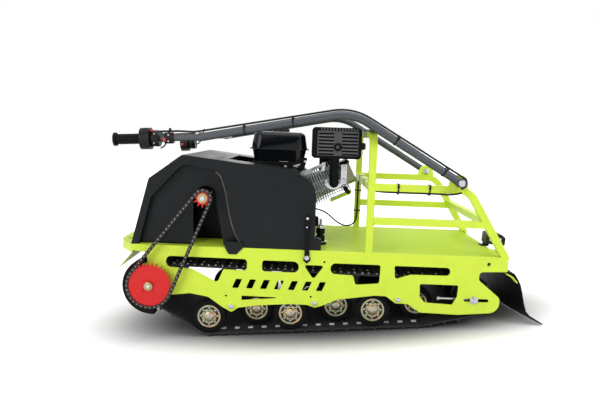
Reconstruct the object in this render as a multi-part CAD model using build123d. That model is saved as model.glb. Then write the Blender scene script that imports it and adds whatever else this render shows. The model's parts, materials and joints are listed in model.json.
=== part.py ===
"""Tracked motor tow unit: one wide rubber track under a laser-cut body, an engine and a folding tiller.

The unit is drawn level with its deck, X to the rear, Y to the right, Z up, with Z = 0 at the height of
the deck's datum. seat_on_ground() then tips it onto the flat run of its track. All sizes in millimetres.
"""
from build123d import *
import math
import os

# Stance: the deck rises to the front by this angle above the ground run of the track
STANCE_TILT = 4.6

# Gaps
SEAT_GAP = 0.3          # between two pieces that touch
SWING_GAP = 5.0         # between the tiller and what it swings past

# Body plates
HALF_WIDTH = 275.0      # outer face of a side panel
PANEL_T = 4.0
DECK_Z = 97.0           # top of the deck and of the panels
DECK_T = 4.0
DECK_FRONT_X = -612.0
DECK_REAR_X = 697.0
LIP_X = 726.0           # rear face of the deck's folded lip
TAIL_X = 727.0
INNER_HALF = HALF_WIDTH - PANEL_T

# Track and what carries it
AXLE_LINE_Z = -142.0    # height of the roller axle line at X = 0
ROLLER_R = 62.0
BELT_T = 6.0
LUG_H = 8.0
LUG_BASE = 12.0
LUG_TOP = 6.0
LUG_PITCH = 50.5
TRACK_HALF = 250.0
DRIVE_X, DRIVE_Z = -541.0, -46.0
DRIVE_R = 62.7          # tips of the toothed track sprockets
DRIVE_TEETH = 8
IDLER_X, IDLER_Z = 614.0, -62.0
BOGIE_PIVOT_X = (-252.0, 46.0, 344.0)
BOGIE_PIVOT_RISE = 46.0     # pivot above the roller axle line
BOGIE_HALF_SPAN = 84.0
OUTER_ROLLER_Y = 231.0
INNER_ROLLER_Y = 165.0
ROLLER_W = 30.0
DISC_R = 42.0
DISC_CAP_R = 27.0
DISC_LOBES = 8
DISC_LOBE_R = 5.2
DISC_DISH = 5.0
DISC_BOSS_R = 13.0
ROCKER_Y = 140.0
ROCKER_T = 6.0
AXLE_R = 8.0
SHAFT_R = 15.0

# Chain drive
CHAIN_PITCH = 15.875
CHAIN_ROLLER_R = 5.08
CHAIN_PLATE_R = 6.8
CHAIN_GAP = 0.8         # between a roller and its sprocket gap
CHAIN_WAIST_R = 5.2
CHAIN_INNER_HALF = 4.9
CHAIN_PLATE_T = 2.6
CHAIN_Y = -300.0
BIG_TEETH = 31
SMALL_TEETH = 11
SPROCKET_T = 8.0
TOOTH_RISE = 4.4        # tooth tips above the pitch circle
CHAIN_LINKS = 68
CHAIN_RISE = 59.6       # degrees the chain's centre line rises from the drive shaft to the jackshaft
JACK_R = 12.5

# Front end
NOSE_X = -679.0
NOSE_CORNER_Y = 190.0
NOSE_R = 120.0
NOSE_BAND_H = 30.0
TOW_EYE_X, TOW_EYE_Y, TOW_EYE_R = -645.0, 166.0, 12.0
GUARD_R = 95.0
GUARD_T = 3.0
GUARD_FROM, GUARD_TO = 133.0, 262.0
GUARD_CHEEK_R = 42.0
DEFLECTOR_FOOT_X, DEFLECTOR_FOOT_Z = -655.0, 14.0

# Hood
HOOD_HALF = 270.0
HOOD_T = 4.0
HOOD_RECESS = 26.0
HOOD_REAR_X = 40.0
HOOD_MOUTH_X = -290.0
HOOD_MOUTH_HALF = 150.0
HOOD_MOUTH_Z = 300.0     # the mouth in the top and the open rear meet at this height
HOOD_SIDE_W = 30.0       # side walls left beside the open rear
HOOD_SLACK = 20.0        # how far a cutting block passes the hood's own faces
KEYHOLE_R = 38.0

# Engine
CRANK_X, CRANK_Z = -100.0, 235.0
CYLINDER_TILT = 26.4
CASE_HALF_Y = 110.0
TANK_X, TANK_Y = -105.0, -10.0
TANK_RIM_Z = 446.0
TANK_CORNER_R, TANK_CROWN_R = 42.0, 20.0

# Cage
TUBE = 25.0
TUBE_Y = HALF_WIDTH - TUBE / 2
HOOP_X = 232.0
HOOP_TOP_Z = 511.5
RAIL_Z = 330.0
LOW_RAIL_Z = 210.0
CAGE_BEND_R = 70.0
HOOP_BEND_R = 50.0
REAR_FOOT_X = 714.0
REAR_BEND_X = 572.0

# Tiller
PIVOT_X, PIVOT_Z = 533.0, 357.0
ARM_R = 14.0
ARM_Y = HALF_WIDTH + SWING_GAP + ARM_R
BAR_R = 11.0
GRIP_R = 17.0
PIN_R = 6.0

# Control cables
CABLE_R = 3.5


def pitch_radius(teeth):
    """Radius of the circle on which a sprocket holds the chain's pins."""
    return CHAIN_PITCH / (2 * math.sin(math.pi / teeth))


def centre_distance():
    """Distance between the shafts at which a whole number of links closes the chain."""
    step = pitch_radius(BIG_TEETH) - pitch_radius(SMALL_TEETH)
    distance = CHAIN_LINKS * CHAIN_PITCH / 2
    for _ in range(40):
        lean = math.asin(step / distance)
        wrapped = BIG_TEETH * (0.5 + lean / math.pi) + SMALL_TEETH * (0.5 - lean / math.pi)
        distance = (CHAIN_LINKS - wrapped) * CHAIN_PITCH / 2 / math.cos(lean)
    return distance


JACK_X = DRIVE_X + centre_distance() * math.cos(math.radians(CHAIN_RISE))
JACK_Z = DRIVE_Z + centre_distance() * math.sin(math.radians(CHAIN_RISE))


def rounded(corners):
    """Closed face in the plane Y = 0 from rows of (x, z, corner radius)."""
    points = [Vector(x, z) for x, z, _ in corners]
    tangents = []
    for index, (_, _, radius) in enumerate(corners):
        here = points[index]
        back = (points[index - 1] - here).normalized()
        ahead = (points[(index + 1) % len(points)] - here).normalized()
        half = math.radians(back.get_angle(ahead)) / 2
        reach = radius / math.tan(half)
        middle = here + (back + ahead).normalized() * (radius / math.sin(half) - radius) if radius else here
        tangents.append((here + back * reach, middle, here + ahead * reach, radius))
    edges = []
    for index, (start, middle, end, radius) in enumerate(tangents):
        if radius:
            edges.append(ThreePointArc(start, middle, end))
        edges.append(Line(end, tangents[(index + 1) % len(tangents)][0]))
    return Plane.XZ * make_face(edges)


def slab(face, y_from, y_to):
    """Extrude a face of the plane Y = 0 from y_from to y_to, y_from being the smaller."""
    return Pos(0, y_to, 0) * extrude(face, amount=y_to - y_from)


def disc(x, z, radius, y_from, y_to, bore=0.0):
    """A cylinder along Y, with a bore if one is given."""
    face = Plane.XZ * (Pos(x, z) * Circle(radius))
    if bore:
        face -= Plane.XZ * (Pos(x, z) * Circle(bore))
    return slab(face, y_from, y_to)


def block(x_from, x_to, y_from, y_to, z_from, z_to):
    """A plain box between two corners."""
    box = Box(x_to - x_from, y_to - y_from, z_to - z_from)
    return Pos((x_from + x_to) / 2, (y_from + y_to) / 2, (z_from + z_to) / 2) * box


def mirrored(shape):
    """The same piece on the other side of the machine."""
    return mirror(shape, about=Plane.XZ)


def strip(points, radius, thickness):
    """A bent sheet's section: a polyline of (x, z) with rounded bends, given a thickness to its left."""
    path = FilletPolyline(*[(x, z) for x, z in points], radius=radius) if radius else Polyline(*points)
    other = offset(path, amount=thickness, side=Side.LEFT, closed=True)
    return Plane.XZ * make_face(other)


def pipe(points, radius, tube_radius):
    """A round tube along a polyline with rounded bends."""
    path = FilletPolyline(*points, radius=radius) if len(points) > 2 else Line(*points)
    return sweep(Plane(path @ 0, z_dir=path % 0) * Circle(tube_radius), path=path)


def square_pipe(points, radius, size, side=(0, 1, 0)):
    """A square tube along a flat polyline with rounded bends, one face square to side."""
    path = FilletPolyline(*points, radius=radius) if len(points) > 2 else Line(*points)
    return sweep(Plane(path @ 0, x_dir=side, z_dir=path % 0) * Rectangle(size, size), path=path)


def axle_line(x):
    """Height of the roller axles at a place along the machine."""
    return AXLE_LINE_Z + x * math.tan(math.radians(STANCE_TILT))


PANEL_OUTLINE = (
    # x, z, corner radius
    (DECK_FRONT_X, DECK_Z, 0), (TAIL_X, DECK_Z, 22), (725, 46, 4), (627, 42, 13), (627, 12, 12),
    (706, -52, 26), (702, -104, 38), (560, -117, 30), (425, -114, 22), (380, -84, 25), (336, -84, 18),
    (302, -59, 20), (262, -58, 25), (128, -78, 40), (72, -104, 20), (48, -111, 12), (20, -102, 20),
    (-40, -101, 30), (-160, -111, 30), (-226, -122, 10), (-250, -140, 12), (-283, -122, 20),
    (-335, -86, 35), (-400, -75, 30), (-470, -84, 12), (-505, -106, 25), (-575, -106, 35),
    (-606, -50, 40), (-590, 14, 30), (-552, 34, 10), (-560, 69, 6), (-612, 75, 2),
)
WINDOWS = (
    # rows of (x, z, corner radius)
    ((-488, 59, 19), (-198, 57, 12), (-198, 15, 12), (-282, 17, 8), (-303, -33, 12), (-396, 15, 10), (-488, 19, 19)),
    ((-144, 55, 10), (-13, 55, 20), (-13, 14, 20), (-144, 15, 10)),
    ((4, 44, 6), (78, 44, 6), (40, -8, 8)),
    ((100, 54, 18), (277, 54, 8), (275, -14, 10), (190, -22, 10), (181, 12, 8), (100, 15, 18)),
    ((326, 53, 6), (524, 53, 14), (524, 24, 14), (385, 23, 10), (330, 4, 8)),
    ((419, -9, 6), (556, -9, 5), (554, -50, 5), (538, -81, 4), (440, -77, 12), (421, -55, 10)),
    tuple((x, IDLER_Z + rise, 5.5) for x, rise in ((578, 6), (666, 6), (666, -6), (578, -6))),
    ((-215, -77, 2), (-57, -79, 2), (-215, -94, 2)),
)
SLANT_COUNT, SLANT_PITCH, SLANT_W, SLANT_X = 7, 50.0, 22.0, -250.0
SLANT_Z, SLANT_H, SLANT_LEAN = -50.0, 34.0, 14.0
PANEL_HOLES = (
    # x, z, radius
    (-271, -80, 4), (33, -72, 4), (5, 62, 4), (77, 57, 4), (658, 71, 6.5),
)


def side_panel():
    """Left laser-cut side panel, with its windows and a row of slanted slots."""
    face = rounded(PANEL_OUTLINE)
    for window in WINDOWS:
        face -= rounded(window)
    for index in range(SLANT_COUNT):
        left = SLANT_X + index * SLANT_PITCH
        face -= rounded(((left, SLANT_Z, 2), (left + SLANT_W, SLANT_Z, 2),
                         (left + SLANT_W + SLANT_LEAN, SLANT_Z + SLANT_H, 2),
                         (left + SLANT_LEAN, SLANT_Z + SLANT_H, 2)))
    for x, z, radius in PANEL_HOLES:
        face -= Plane.XZ * (Pos(x, z) * Circle(radius))
    for x in BOGIE_PIVOT_X:
        face -= Plane.XZ * (Pos(x, axle_line(x) + BOGIE_PIVOT_RISE) * Circle(AXLE_R + SEAT_GAP))
    face -= Plane.XZ * (Pos(DRIVE_X, DRIVE_Z) * Circle(SHAFT_R + SEAT_GAP))
    return slab(face, -HALF_WIDTH, -INNER_HALF)


def deck():
    """Flat load deck between the panels, its rear lip folded down between their tails."""
    section = strip(((DECK_FRONT_X, DECK_Z - DECK_T), (DECK_REAR_X, DECK_Z - DECK_T), (LIP_X - DECK_T, 84),
                     (LIP_X - DECK_T, 46)), 3, DECK_T)
    return slab(section, -INNER_HALF, INNER_HALF)


def nose_face(inset):
    """Plan of the bumper's nose, drawn in from its edge by inset."""
    points = [(DECK_FRONT_X, -HALF_WIDTH + inset), (NOSE_X + inset, -NOSE_CORNER_Y), (NOSE_X + inset, NOSE_CORNER_Y),
              (DECK_FRONT_X, HALF_WIDTH - inset)]
    face = make_face(Polyline(*points, close=True))
    front = face.vertices().sort_by(Axis.X)[:2]
    return fillet(front, radius=NOSE_R - inset)


def bumper():
    """Rounded nose: a top plate with two tow eyes and a band folded down round it."""
    band = nose_face(0) - nose_face(DECK_T)
    skirt = Pos(0, 0, DECK_Z - NOSE_BAND_H) * extrude(band, amount=NOSE_BAND_H - DECK_T)
    plate = nose_face(0)
    for side in (-1, 1):
        plate -= Pos(TOW_EYE_X, side * TOW_EYE_Y) * Circle(TOW_EYE_R)
    return skirt + Pos(0, 0, DECK_Z - DECK_T) * extrude(plate, amount=DECK_T)


def front_deflector():
    """Thin plate that closes the gap between the nose and the drive axle's guard."""
    section = strip(((DECK_FRONT_X + 6, DECK_Z - DECK_T), (DECK_FRONT_X, DECK_Z - NOSE_BAND_H - 1),
                     (DEFLECTOR_FOOT_X, DEFLECTOR_FOOT_Z)), 0, GUARD_T)
    return slab(section, -INNER_HALF, INNER_HALF)


def drive_guard():
    """Curved sheet in front of the drive axle, with a cheek inside each panel."""
    def sector(outer, inner):
        start, end = math.radians(GUARD_FROM), math.radians(GUARD_TO)
        middle = (start + end) / 2
        spots = [[Vector(DRIVE_X + r * math.cos(a), DRIVE_Z + r * math.sin(a)) for a in (start, middle, end)]
                 for r in (outer, inner)]
        (a, b, c), (d, e, f) = spots
        return Plane.XZ * make_face([ThreePointArc(a, b, c), Line(c, f), ThreePointArc(f, e, d), Line(d, a)])
    guard = slab(sector(GUARD_R, GUARD_R - GUARD_T), -INNER_HALF, INNER_HALF)
    cheek = slab(sector(GUARD_R - 1, GUARD_CHEEK_R), -INNER_HALF, -INNER_HALF + GUARD_T)
    return guard + cheek + mirrored(cheek)


def belt_circles():
    """Wheels inside the track, as rows of (x, z, radius of the belt's inner face), turning left to right below."""
    first, last = BOGIE_PIVOT_X[0] - BOGIE_HALF_SPAN, BOGIE_PIVOT_X[-1] + BOGIE_HALF_SPAN
    return ((DRIVE_X, DRIVE_Z, DRIVE_R + SEAT_GAP), (first, axle_line(first), ROLLER_R + SEAT_GAP),
            (last, axle_line(last), ROLLER_R + SEAT_GAP), (IDLER_X, IDLER_Z, ROLLER_R + SEAT_GAP))


def belt_runs(grow):
    """Straight runs of a loop round the wheels, grown outwards: rows of (start, end, normal)."""
    circles = belt_circles()
    runs = []
    for index, (x, z, r) in enumerate(circles):
        x2, z2, r2 = circles[(index + 1) % len(circles)]
        span = Vector(x2 - x, z2 - z)
        along = span.normalized()
        lean = math.asin((r - r2) / span.length)
        side = Vector(along.Y, -along.X)
        normal = side * math.cos(lean) + along * math.sin(lean)
        runs.append((Vector(x, z) + normal * (r + grow), Vector(x2, z2) + normal * (r2 + grow), normal))
    return runs


def belt_loop(grow):
    """Closed face round the wheels, grown outwards."""
    runs, circles = belt_runs(grow), belt_circles()
    edges = []
    for index, (start, end, normal) in enumerate(runs):
        nxt = (index + 1) % len(runs)
        x, z, r = circles[nxt]
        middle = Vector(x, z) + (normal + runs[nxt][2]).normalized() * (r + grow)
        edges += [Line(start, end), ThreePointArc(end, middle, runs[nxt][0])]
    return Plane.XZ * make_face(edges)


def belt_stations(grow, pitch):
    """Evenly spaced spots along the loop: rows of (point, normal)."""
    runs, circles = belt_runs(grow), belt_circles()
    pieces = []
    for index, (start, end, normal) in enumerate(runs):
        nxt = (index + 1) % len(runs)
        turn = math.radians(normal.get_angle(runs[nxt][2]))
        radius = circles[nxt][2] + grow
        pieces.append(((end - start).length, turn * radius, start, end, normal, circles[nxt], radius))
    total = sum(piece[0] + piece[1] for piece in pieces)
    count = round(total / pitch)
    spots = []
    for index in range(count):
        at = (index + 0.5) * total / count
        for straight, arc, start, end, normal, (x, z, _), radius in pieces:
            if at <= straight:
                spots.append((start + (end - start).normalized() * at, normal))
                break
            at -= straight
            if at <= arc:
                turned = normal.rotate(Axis.Z, math.degrees(at / radius))
                spots.append((Vector(x, z) + turned * radius, turned))
                break
            at -= arc
    return spots


def track():
    """Rubber track as one loop with its lugs in its outline."""
    face = belt_loop(BELT_T) - belt_loop(0)
    lugs = []
    for point, normal in belt_stations(BELT_T, LUG_PITCH):
        along = Vector(-normal.Y, normal.X)
        foot, tip = point - normal * 1.5, point + normal * LUG_H
        corners = (foot - along * LUG_BASE / 2, foot + along * LUG_BASE / 2,
                   tip + along * LUG_TOP / 2, tip - along * LUG_TOP / 2)
        lugs.append(Plane.XZ * make_face(Polyline(*corners, close=True)))
    return slab(face + lugs, -TRACK_HALF, TRACK_HALF)


def star(teeth, root, tip, x, z, share=0.5):
    """Plain toothed outline: straight-sided teeth between two radii."""
    points = []
    for index in range(teeth):
        for radius, turn in ((root, -0.5 * share - 0.12), (tip, -0.5 * share + 0.1), (tip, 0.5 * share - 0.1),
                             (root, 0.5 * share + 0.12)):
            angle = 2 * math.pi * (index + turn) / teeth
            points.append((x + radius * math.cos(angle), z + radius * math.sin(angle)))
    return Plane.XZ * make_face(Polyline(*points, close=True))


TRACK_SPROCKET_YS = (-150.0, 0.0, 150.0)
TRACK_SPROCKET_W = 24.0
AXLE_END_Y = 312.0


def drive_axle():
    """Drive shaft with three toothed track sprockets."""
    shaft = disc(DRIVE_X, DRIVE_Z, SHAFT_R, -AXLE_END_Y, HALF_WIDTH + 18)
    wheel = star(DRIVE_TEETH, DRIVE_R - 16, DRIVE_R, DRIVE_X, DRIVE_Z)
    for y in TRACK_SPROCKET_YS:
        shaft += slab(wheel, y - TRACK_SPROCKET_W / 2, y + TRACK_SPROCKET_W / 2)
    return shaft


BEARING_R = 36.0
BEARING_T = 11.0


def axle_bearings():
    """Flanged bearings that carry the drive shaft on the panels."""
    near = disc(DRIVE_X, DRIVE_Z, BEARING_R, -HALF_WIDTH - BEARING_T, -HALF_WIDTH, SHAFT_R + 0.05)
    return [near, mirrored(near)]


def roller_places(half_span_sign, y):
    """Axle centres of the rollers on one end of each bogie, as rows of (x, z, y)."""
    return [(x + half_span_sign * BOGIE_HALF_SPAN, axle_line(x + half_span_sign * BOGIE_HALF_SPAN), y)
            for x in BOGIE_PIVOT_X]


def all_rollers():
    """Every roller of the left side: outer ones on the front axles, inner ones on the rear axles."""
    return roller_places(-1, -OUTER_ROLLER_Y) + roller_places(1, -INNER_ROLLER_Y)


def roller_tyres():
    """Rubber rings of the left rollers."""
    half = ROLLER_W / 2
    return [chamfer(disc(x, z, ROLLER_R, y - half, y + half, DISC_R).faces().filter_by(GeomType.CYLINDER)
                    .sort_by(SortBy.AREA)[-1].edges().filter_by(GeomType.CIRCLE), 2.5)
            for x, z, y in all_rollers()]


def roller_discs():
    """Pressed discs of the left rollers: a dished web, a cap scalloped between its bolts and a centre boss."""
    half = ROLLER_W / 2
    discs = []
    for x, z, y in all_rollers():
        web = disc(x, z, DISC_R, y - half + DISC_DISH, y + half - DISC_DISH, AXLE_R)
        rim = disc(x, z, DISC_R, y - half, y - half + DISC_DISH, DISC_R - 4)
        scallops = PolarLocations(DISC_CAP_R + 1, DISC_LOBES) * Circle(DISC_LOBE_R)
        cap = Plane.XZ * (Pos(x, z) * (Circle(DISC_CAP_R) - scallops))
        boss = disc(x, z, DISC_BOSS_R, y - half - 3, y - half + 1)
        discs.append(web + rim + slab(cap, y - half + 1, y - half + DISC_DISH) + boss)
    return discs


def bogie_frames():
    """Left rockers, each with its pivot pin in the panel and its two stub axles."""
    frames = []
    half = ROCKER_T / 2
    for x in BOGIE_PIVOT_X:
        pivot_z = axle_line(x) + BOGIE_PIVOT_RISE
        ends = [(x + sign * BOGIE_HALF_SPAN, axle_line(x + sign * BOGIE_HALF_SPAN)) for sign in (-1, 1)]
        (x1, z1), (x2, z2) = ends
        plate = rounded(((x1 - 22, z1 - 12, 14), (x2 + 22, z2 - 12, 14), (x2 + 16, z2 + 16, 14),
                         (x + 20, pivot_z + 18, 16), (x - 20, pivot_z + 18, 16), (x1 - 16, z1 + 16, 14)))
        frame = slab(plate, -ROCKER_Y - half, -ROCKER_Y + half)
        frame += disc(x, pivot_z, AXLE_R, -HALF_WIDTH - 2, -ROCKER_Y)
        frame += disc(x, pivot_z, AXLE_R + 5, -INNER_HALF + SEAT_GAP, -ROCKER_Y)
        frame += disc(x, pivot_z, AXLE_R + 4, -HALF_WIDTH - 7, -HALF_WIDTH)
        frame += disc(x1, z1, AXLE_R, -OUTER_ROLLER_Y - ROLLER_W / 2 + DISC_DISH, -ROCKER_Y)
        frame += disc(x2, z2, AXLE_R, -ROCKER_Y, -INNER_ROLLER_Y + ROLLER_W / 2)
        frames.append(frame)
    return frames


IDLER_YS = (-205.0, -70.0, 70.0, 205.0)
IDLER_W = 28.0


def rear_idler():
    """Rear axle with its four idler wheels, its ends in the panels' slots."""
    shaft = disc(IDLER_X, IDLER_Z, 5.5, -HALF_WIDTH - 10, HALF_WIDTH + 10)
    shaft += disc(IDLER_X, IDLER_Z, AXLE_R + 2, -INNER_HALF + SEAT_GAP, INNER_HALF - SEAT_GAP)
    shaft += disc(IDLER_X, IDLER_Z, 11, -HALF_WIDTH - 8, -HALF_WIDTH)
    shaft += disc(IDLER_X, IDLER_Z, 11, HALF_WIDTH, HALF_WIDTH + 8)
    for y in IDLER_YS:
        shaft += disc(IDLER_X, IDLER_Z, ROLLER_R, y - IDLER_W / 2, y + IDLER_W / 2)
    return shaft


SCREW_X = 490.0         # head of the tension screw
SCREW_R, SCREW_HEAD_R = 5.0, 9.0
SCREW_INSET = 16.0      # from the panel's inner face to the screw's axis
LUG_X, LUG_PLATE_T = 566.0, 6.0


def tensioner():
    """Left tension screw, from a lug on the panel to the idler axle."""
    screw_y, screw_z, end_x = -INNER_HALF + SCREW_INSET, IDLER_Z - 2, IDLER_X - AXLE_R - 4
    lying = Rot(0, 90, 0)
    screw = Pos((end_x + SCREW_X) / 2, screw_y, screw_z) * (lying * Cylinder(SCREW_R, end_x - SCREW_X))
    head = Pos(SCREW_X, screw_y, screw_z) * (lying * Cylinder(SCREW_HEAD_R, 7))
    lug = block(LUG_X, LUG_X + LUG_PLATE_T, -INNER_HALF, screw_y + SCREW_INSET - 1, screw_z - SCREW_INSET,
                screw_z + SCREW_INSET)
    return screw + head + lug


def sprocket_outline(teeth, x, z, phase):
    """Chain sprocket whose gaps clear the chain's rollers; phase is where one gap lies, in degrees."""
    pitch_r = pitch_radius(teeth)
    root_r = pitch_r - CHAIN_ROLLER_R - CHAIN_GAP
    step = 360.0 / teeth
    flank = (CHAIN_ROLLER_R + CHAIN_GAP) / pitch_r
    tooth = math.radians(step / 2)
    points = []
    for index in range(teeth):
        gap = math.radians(phase + index * step)
        for turn, radius in ((-flank, pitch_r), (-flank / 2, root_r), (flank / 2, root_r), (flank, pitch_r),
                             (tooth - flank / 4, pitch_r + TOOTH_RISE), (tooth + flank / 4, pitch_r + TOOTH_RISE)):
            points.append((x + radius * math.cos(gap + turn), z + radius * math.sin(gap + turn)))
    return Plane.XZ * make_face(Polyline(*points, close=True))


def chain_pins():
    """Pin centres of the chain, evenly spaced by whole links along its runs and round its sprockets."""
    wheels = ((DRIVE_X, DRIVE_Z, BIG_TEETH), (JACK_X, JACK_Z, SMALL_TEETH))
    runs = []
    for index, (x, z, teeth) in enumerate(wheels):
        x2, z2, teeth2 = wheels[1 - index]
        radius, radius2 = pitch_radius(teeth), pitch_radius(teeth2)
        span = Vector(x2 - x, z2 - z)
        along = span.normalized()
        lean = math.asin((radius - radius2) / span.length)
        normal = Vector(along.Y, -along.X) * math.cos(lean) + along * math.sin(lean)
        start, end = Vector(x, z) + normal * radius, Vector(x2, z2) + normal * radius2
        runs.append((start, (end - start) / CHAIN_PITCH, normal, wheels[1 - index], 0.5 - lean / math.pi))
    pins = []
    for index in range(CHAIN_LINKS):
        at = index + 0.5
        for start, links, normal, (x, z, teeth), wrap in runs:
            if at <= links.length:
                pins.append(start + links.normalized() * CHAIN_PITCH * at)
                break
            at -= links.length
            if at <= wrap * teeth:
                pins.append(Vector(x, z) + normal.rotate(Axis.Z, 360 * at / teeth) * pitch_radius(teeth))
                break
            at -= wrap * teeth
    return pins


def gap_phase(x, z):
    """Direction in degrees from a sprocket's centre to a pin that lies round it."""
    centre = Vector(x, z)
    away = min(chain_pins(), key=lambda pin: (pin - centre).length) - centre
    return math.degrees(math.atan2(away.Y, away.X))


def chain():
    """Roller chain: two rows of waisted side plates joined at every pin."""
    pins = chain_pins()
    outside, inside = [], []
    for index, pin in enumerate(pins):
        following = pins[(index + 1) % len(pins)]
        before = pins[index - 1]
        tangent = (following - before).normalized()
        normal = Vector(tangent.Y, -tangent.X)
        middle = (pin + following) / 2
        run = (following - pin).normalized()
        across = Vector(run.Y, -run.X)
        outside += [pin + normal * CHAIN_PLATE_R, middle + across * CHAIN_WAIST_R]
        inside += [pin - normal * CHAIN_PLATE_R, middle - across * CHAIN_WAIST_R]
    band = Plane.XZ * (make_face(Polyline(*outside, close=True)) - make_face(Polyline(*inside, close=True)))
    rows = [slab(band, CHAIN_Y - CHAIN_INNER_HALF - CHAIN_PLATE_T, CHAIN_Y - CHAIN_INNER_HALF),
            slab(band, CHAIN_Y + CHAIN_INNER_HALF, CHAIN_Y + CHAIN_INNER_HALF + CHAIN_PLATE_T)]
    rollers = []
    for pin in pins:
        roller = Plane.XZ * (Pos(pin.X, pin.Y) * RegularPolygon(CHAIN_ROLLER_R, 6))
        rollers.append(slab(roller, CHAIN_Y - CHAIN_INNER_HALF - 0.5, CHAIN_Y + CHAIN_INNER_HALF + 0.5))
    return rows[0] + rows[1] + rollers


def big_sprocket():
    """Red driven sprocket on the drive shaft."""
    face = sprocket_outline(BIG_TEETH, DRIVE_X, DRIVE_Z, gap_phase(DRIVE_X, DRIVE_Z))
    face -= Plane.XZ * (Pos(DRIVE_X, DRIVE_Z) * Circle(SHAFT_R))
    return slab(face, CHAIN_Y - SPROCKET_T / 2, CHAIN_Y + SPROCKET_T / 2)


def small_sprocket():
    """Red driving sprocket on the jackshaft."""
    face = sprocket_outline(SMALL_TEETH, JACK_X, JACK_Z, gap_phase(JACK_X, JACK_Z))
    face -= Plane.XZ * (Pos(JACK_X, JACK_Z) * Circle(JACK_R))
    return slab(face, CHAIN_Y - SPROCKET_T / 2, CHAIN_Y + SPROCKET_T / 2)


JACK_STAND_Y = 120.0


def jackshaft():
    """Jackshaft with the collar and bolt that hold the small sprocket."""
    shaft = disc(JACK_X, JACK_Z, JACK_R, CHAIN_Y - 6, JACK_STAND_Y + 15)
    shaft += disc(JACK_X, JACK_Z, 17, CHAIN_Y - 8, CHAIN_Y - SPROCKET_T / 2)
    return shaft + disc(JACK_X, JACK_Z, 8, CHAIN_Y - 13, CHAIN_Y - 8)


def jackshaft_stand():
    """Two uprights on the deck that carry the jackshaft inside the hood."""
    stands = []
    for side in (-1, 1):
        face = rounded(((JACK_X - 70, DECK_Z, 4), (JACK_X + 70, DECK_Z, 4), (JACK_X + 40, JACK_Z + 36, 30),
                        (JACK_X - 40, JACK_Z + 36, 30)))
        face -= Plane.XZ * (Pos(JACK_X, JACK_Z) * Circle(JACK_R + 0.05))
        y = side * JACK_STAND_Y
        stands.append(slab(face, y - 4, y + 4))
    return stands


HOOD_PROFILE = (
    # x, z, corner radius
    (-614, 97.3, 0), (-552, 333, 14), (-434, 420, 16), (-34, 376, 40), (20, 338, 60), (HOOD_REAR_X, 290, 30),
    (HOOD_REAR_X, 97.3, 0),
)
RECESS_PROFILE = (
    (-590, 90, 0), (-543, 268, 20), (-430, 390, 45), (-300, 366, 40), (-279, 290, 30), (-264, 206, 60), (-245, 146, 50),
    (-209, 90, 0),
)
KEYHOLE_FOOT = (-398.0, -284.0)     # left and right edge of the keyhole's slot at its foot
HOOD_FOOT = (
    (HOOD_REAR_X - 6, 97.3, 0), (HOOD_REAR_X - 6, 142, 0), (HOOD_REAR_X + 3, 142, 3), (62, 136, 4), (63, 97.3, 0),
)
HOOD_FOOT_W = 30.0
HOOD_TAB = ((-278, 118, 0), (-214, 118, 0), (-214, 97, 3), (-236, 74, 4), (-264, 74, 4), (-278, 98, 0))


def inset(corners, amount):
    """The face of an outline drawn in by amount, or out where amount is negative."""
    return Plane.XZ * offset(Plane.XZ.to_local_coords(rounded(corners)), amount=-amount, kind=Kind.INTERSECTION)


def hood():
    """Hollow hood: recessed sides, a mouth in its top for the engine and an open rear."""
    shell = slab(rounded(HOOD_PROFILE), -HOOD_HALF, HOOD_HALF)
    hollow = slab(inset(HOOD_PROFILE, HOOD_T), -HOOD_HALF + HOOD_T, HOOD_HALF - HOOD_T)
    (front_x, foot_z, _), past = HOOD_PROFILE[0], HOOD_REAR_X + HOOD_SLACK
    hollow += block(front_x + 3.5 * HOOD_T, past, -HOOD_HALF + HOOD_T, HOOD_HALF - HOOD_T, foot_z - HOOD_SLACK,
                    foot_z + HOOD_SLACK)
    hollow += block(HOOD_REAR_X - HOOD_SLACK, past, -HOOD_HALF + HOOD_SIDE_W, HOOD_HALF - HOOD_SIDE_W,
                    foot_z - HOOD_SLACK, HOOD_MOUTH_Z)
    pocket = slab(rounded(RECESS_PROFILE), -HOOD_HALF - 1, -HOOD_HALF + HOOD_RECESS)
    wall = slab(inset(RECESS_PROFILE, -HOOD_T), -HOOD_HALF - 1, -HOOD_HALF + HOOD_RECESS + HOOD_T)
    shell = shell - pocket - mirrored(pocket)
    hollow = hollow - wall - mirrored(wall)
    shell -= hollow
    shell -= block(HOOD_MOUTH_X, past, -HOOD_MOUTH_HALF, HOOD_MOUTH_HALF, HOOD_MOUTH_Z, 1.5 * HOOD_MOUTH_Z)
    left, right = KEYHOLE_FOOT
    keyhole = disc(JACK_X, JACK_Z, KEYHOLE_R, -HOOD_HALF - 1, -HOOD_HALF + 60)
    keyhole += slab(rounded(((left, 80, 0), (right, 80, 0), (JACK_X + 34, JACK_Z, 0), (left, JACK_Z, 0))),
                    -HOOD_HALF - 1, -HOOD_HALF + 60)
    foot = slab(rounded(HOOD_FOOT), -HOOD_HALF, -HOOD_HALF + HOOD_FOOT_W)
    return shell - keyhole + hood_tab() + mirrored(hood_tab()) + foot + mirrored(foot)


def hood_tab():
    """Left foot of the hood's raised rib, hung over the panel."""
    tab = slab(rounded(HOOD_TAB), -max(HALF_WIDTH, HOOD_HALF) - HOOD_T, -HOOD_HALF + 1)
    return tab - block(-400, 0, -HALF_WIDTH - SEAT_GAP, 0, 0, DECK_Z + SEAT_GAP)


STRAP_X = 12.0
STRAP_TOP_Z, STRAP_FOOT_Z = 215.0, 72.0
STRAP_T = 7.0


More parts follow.
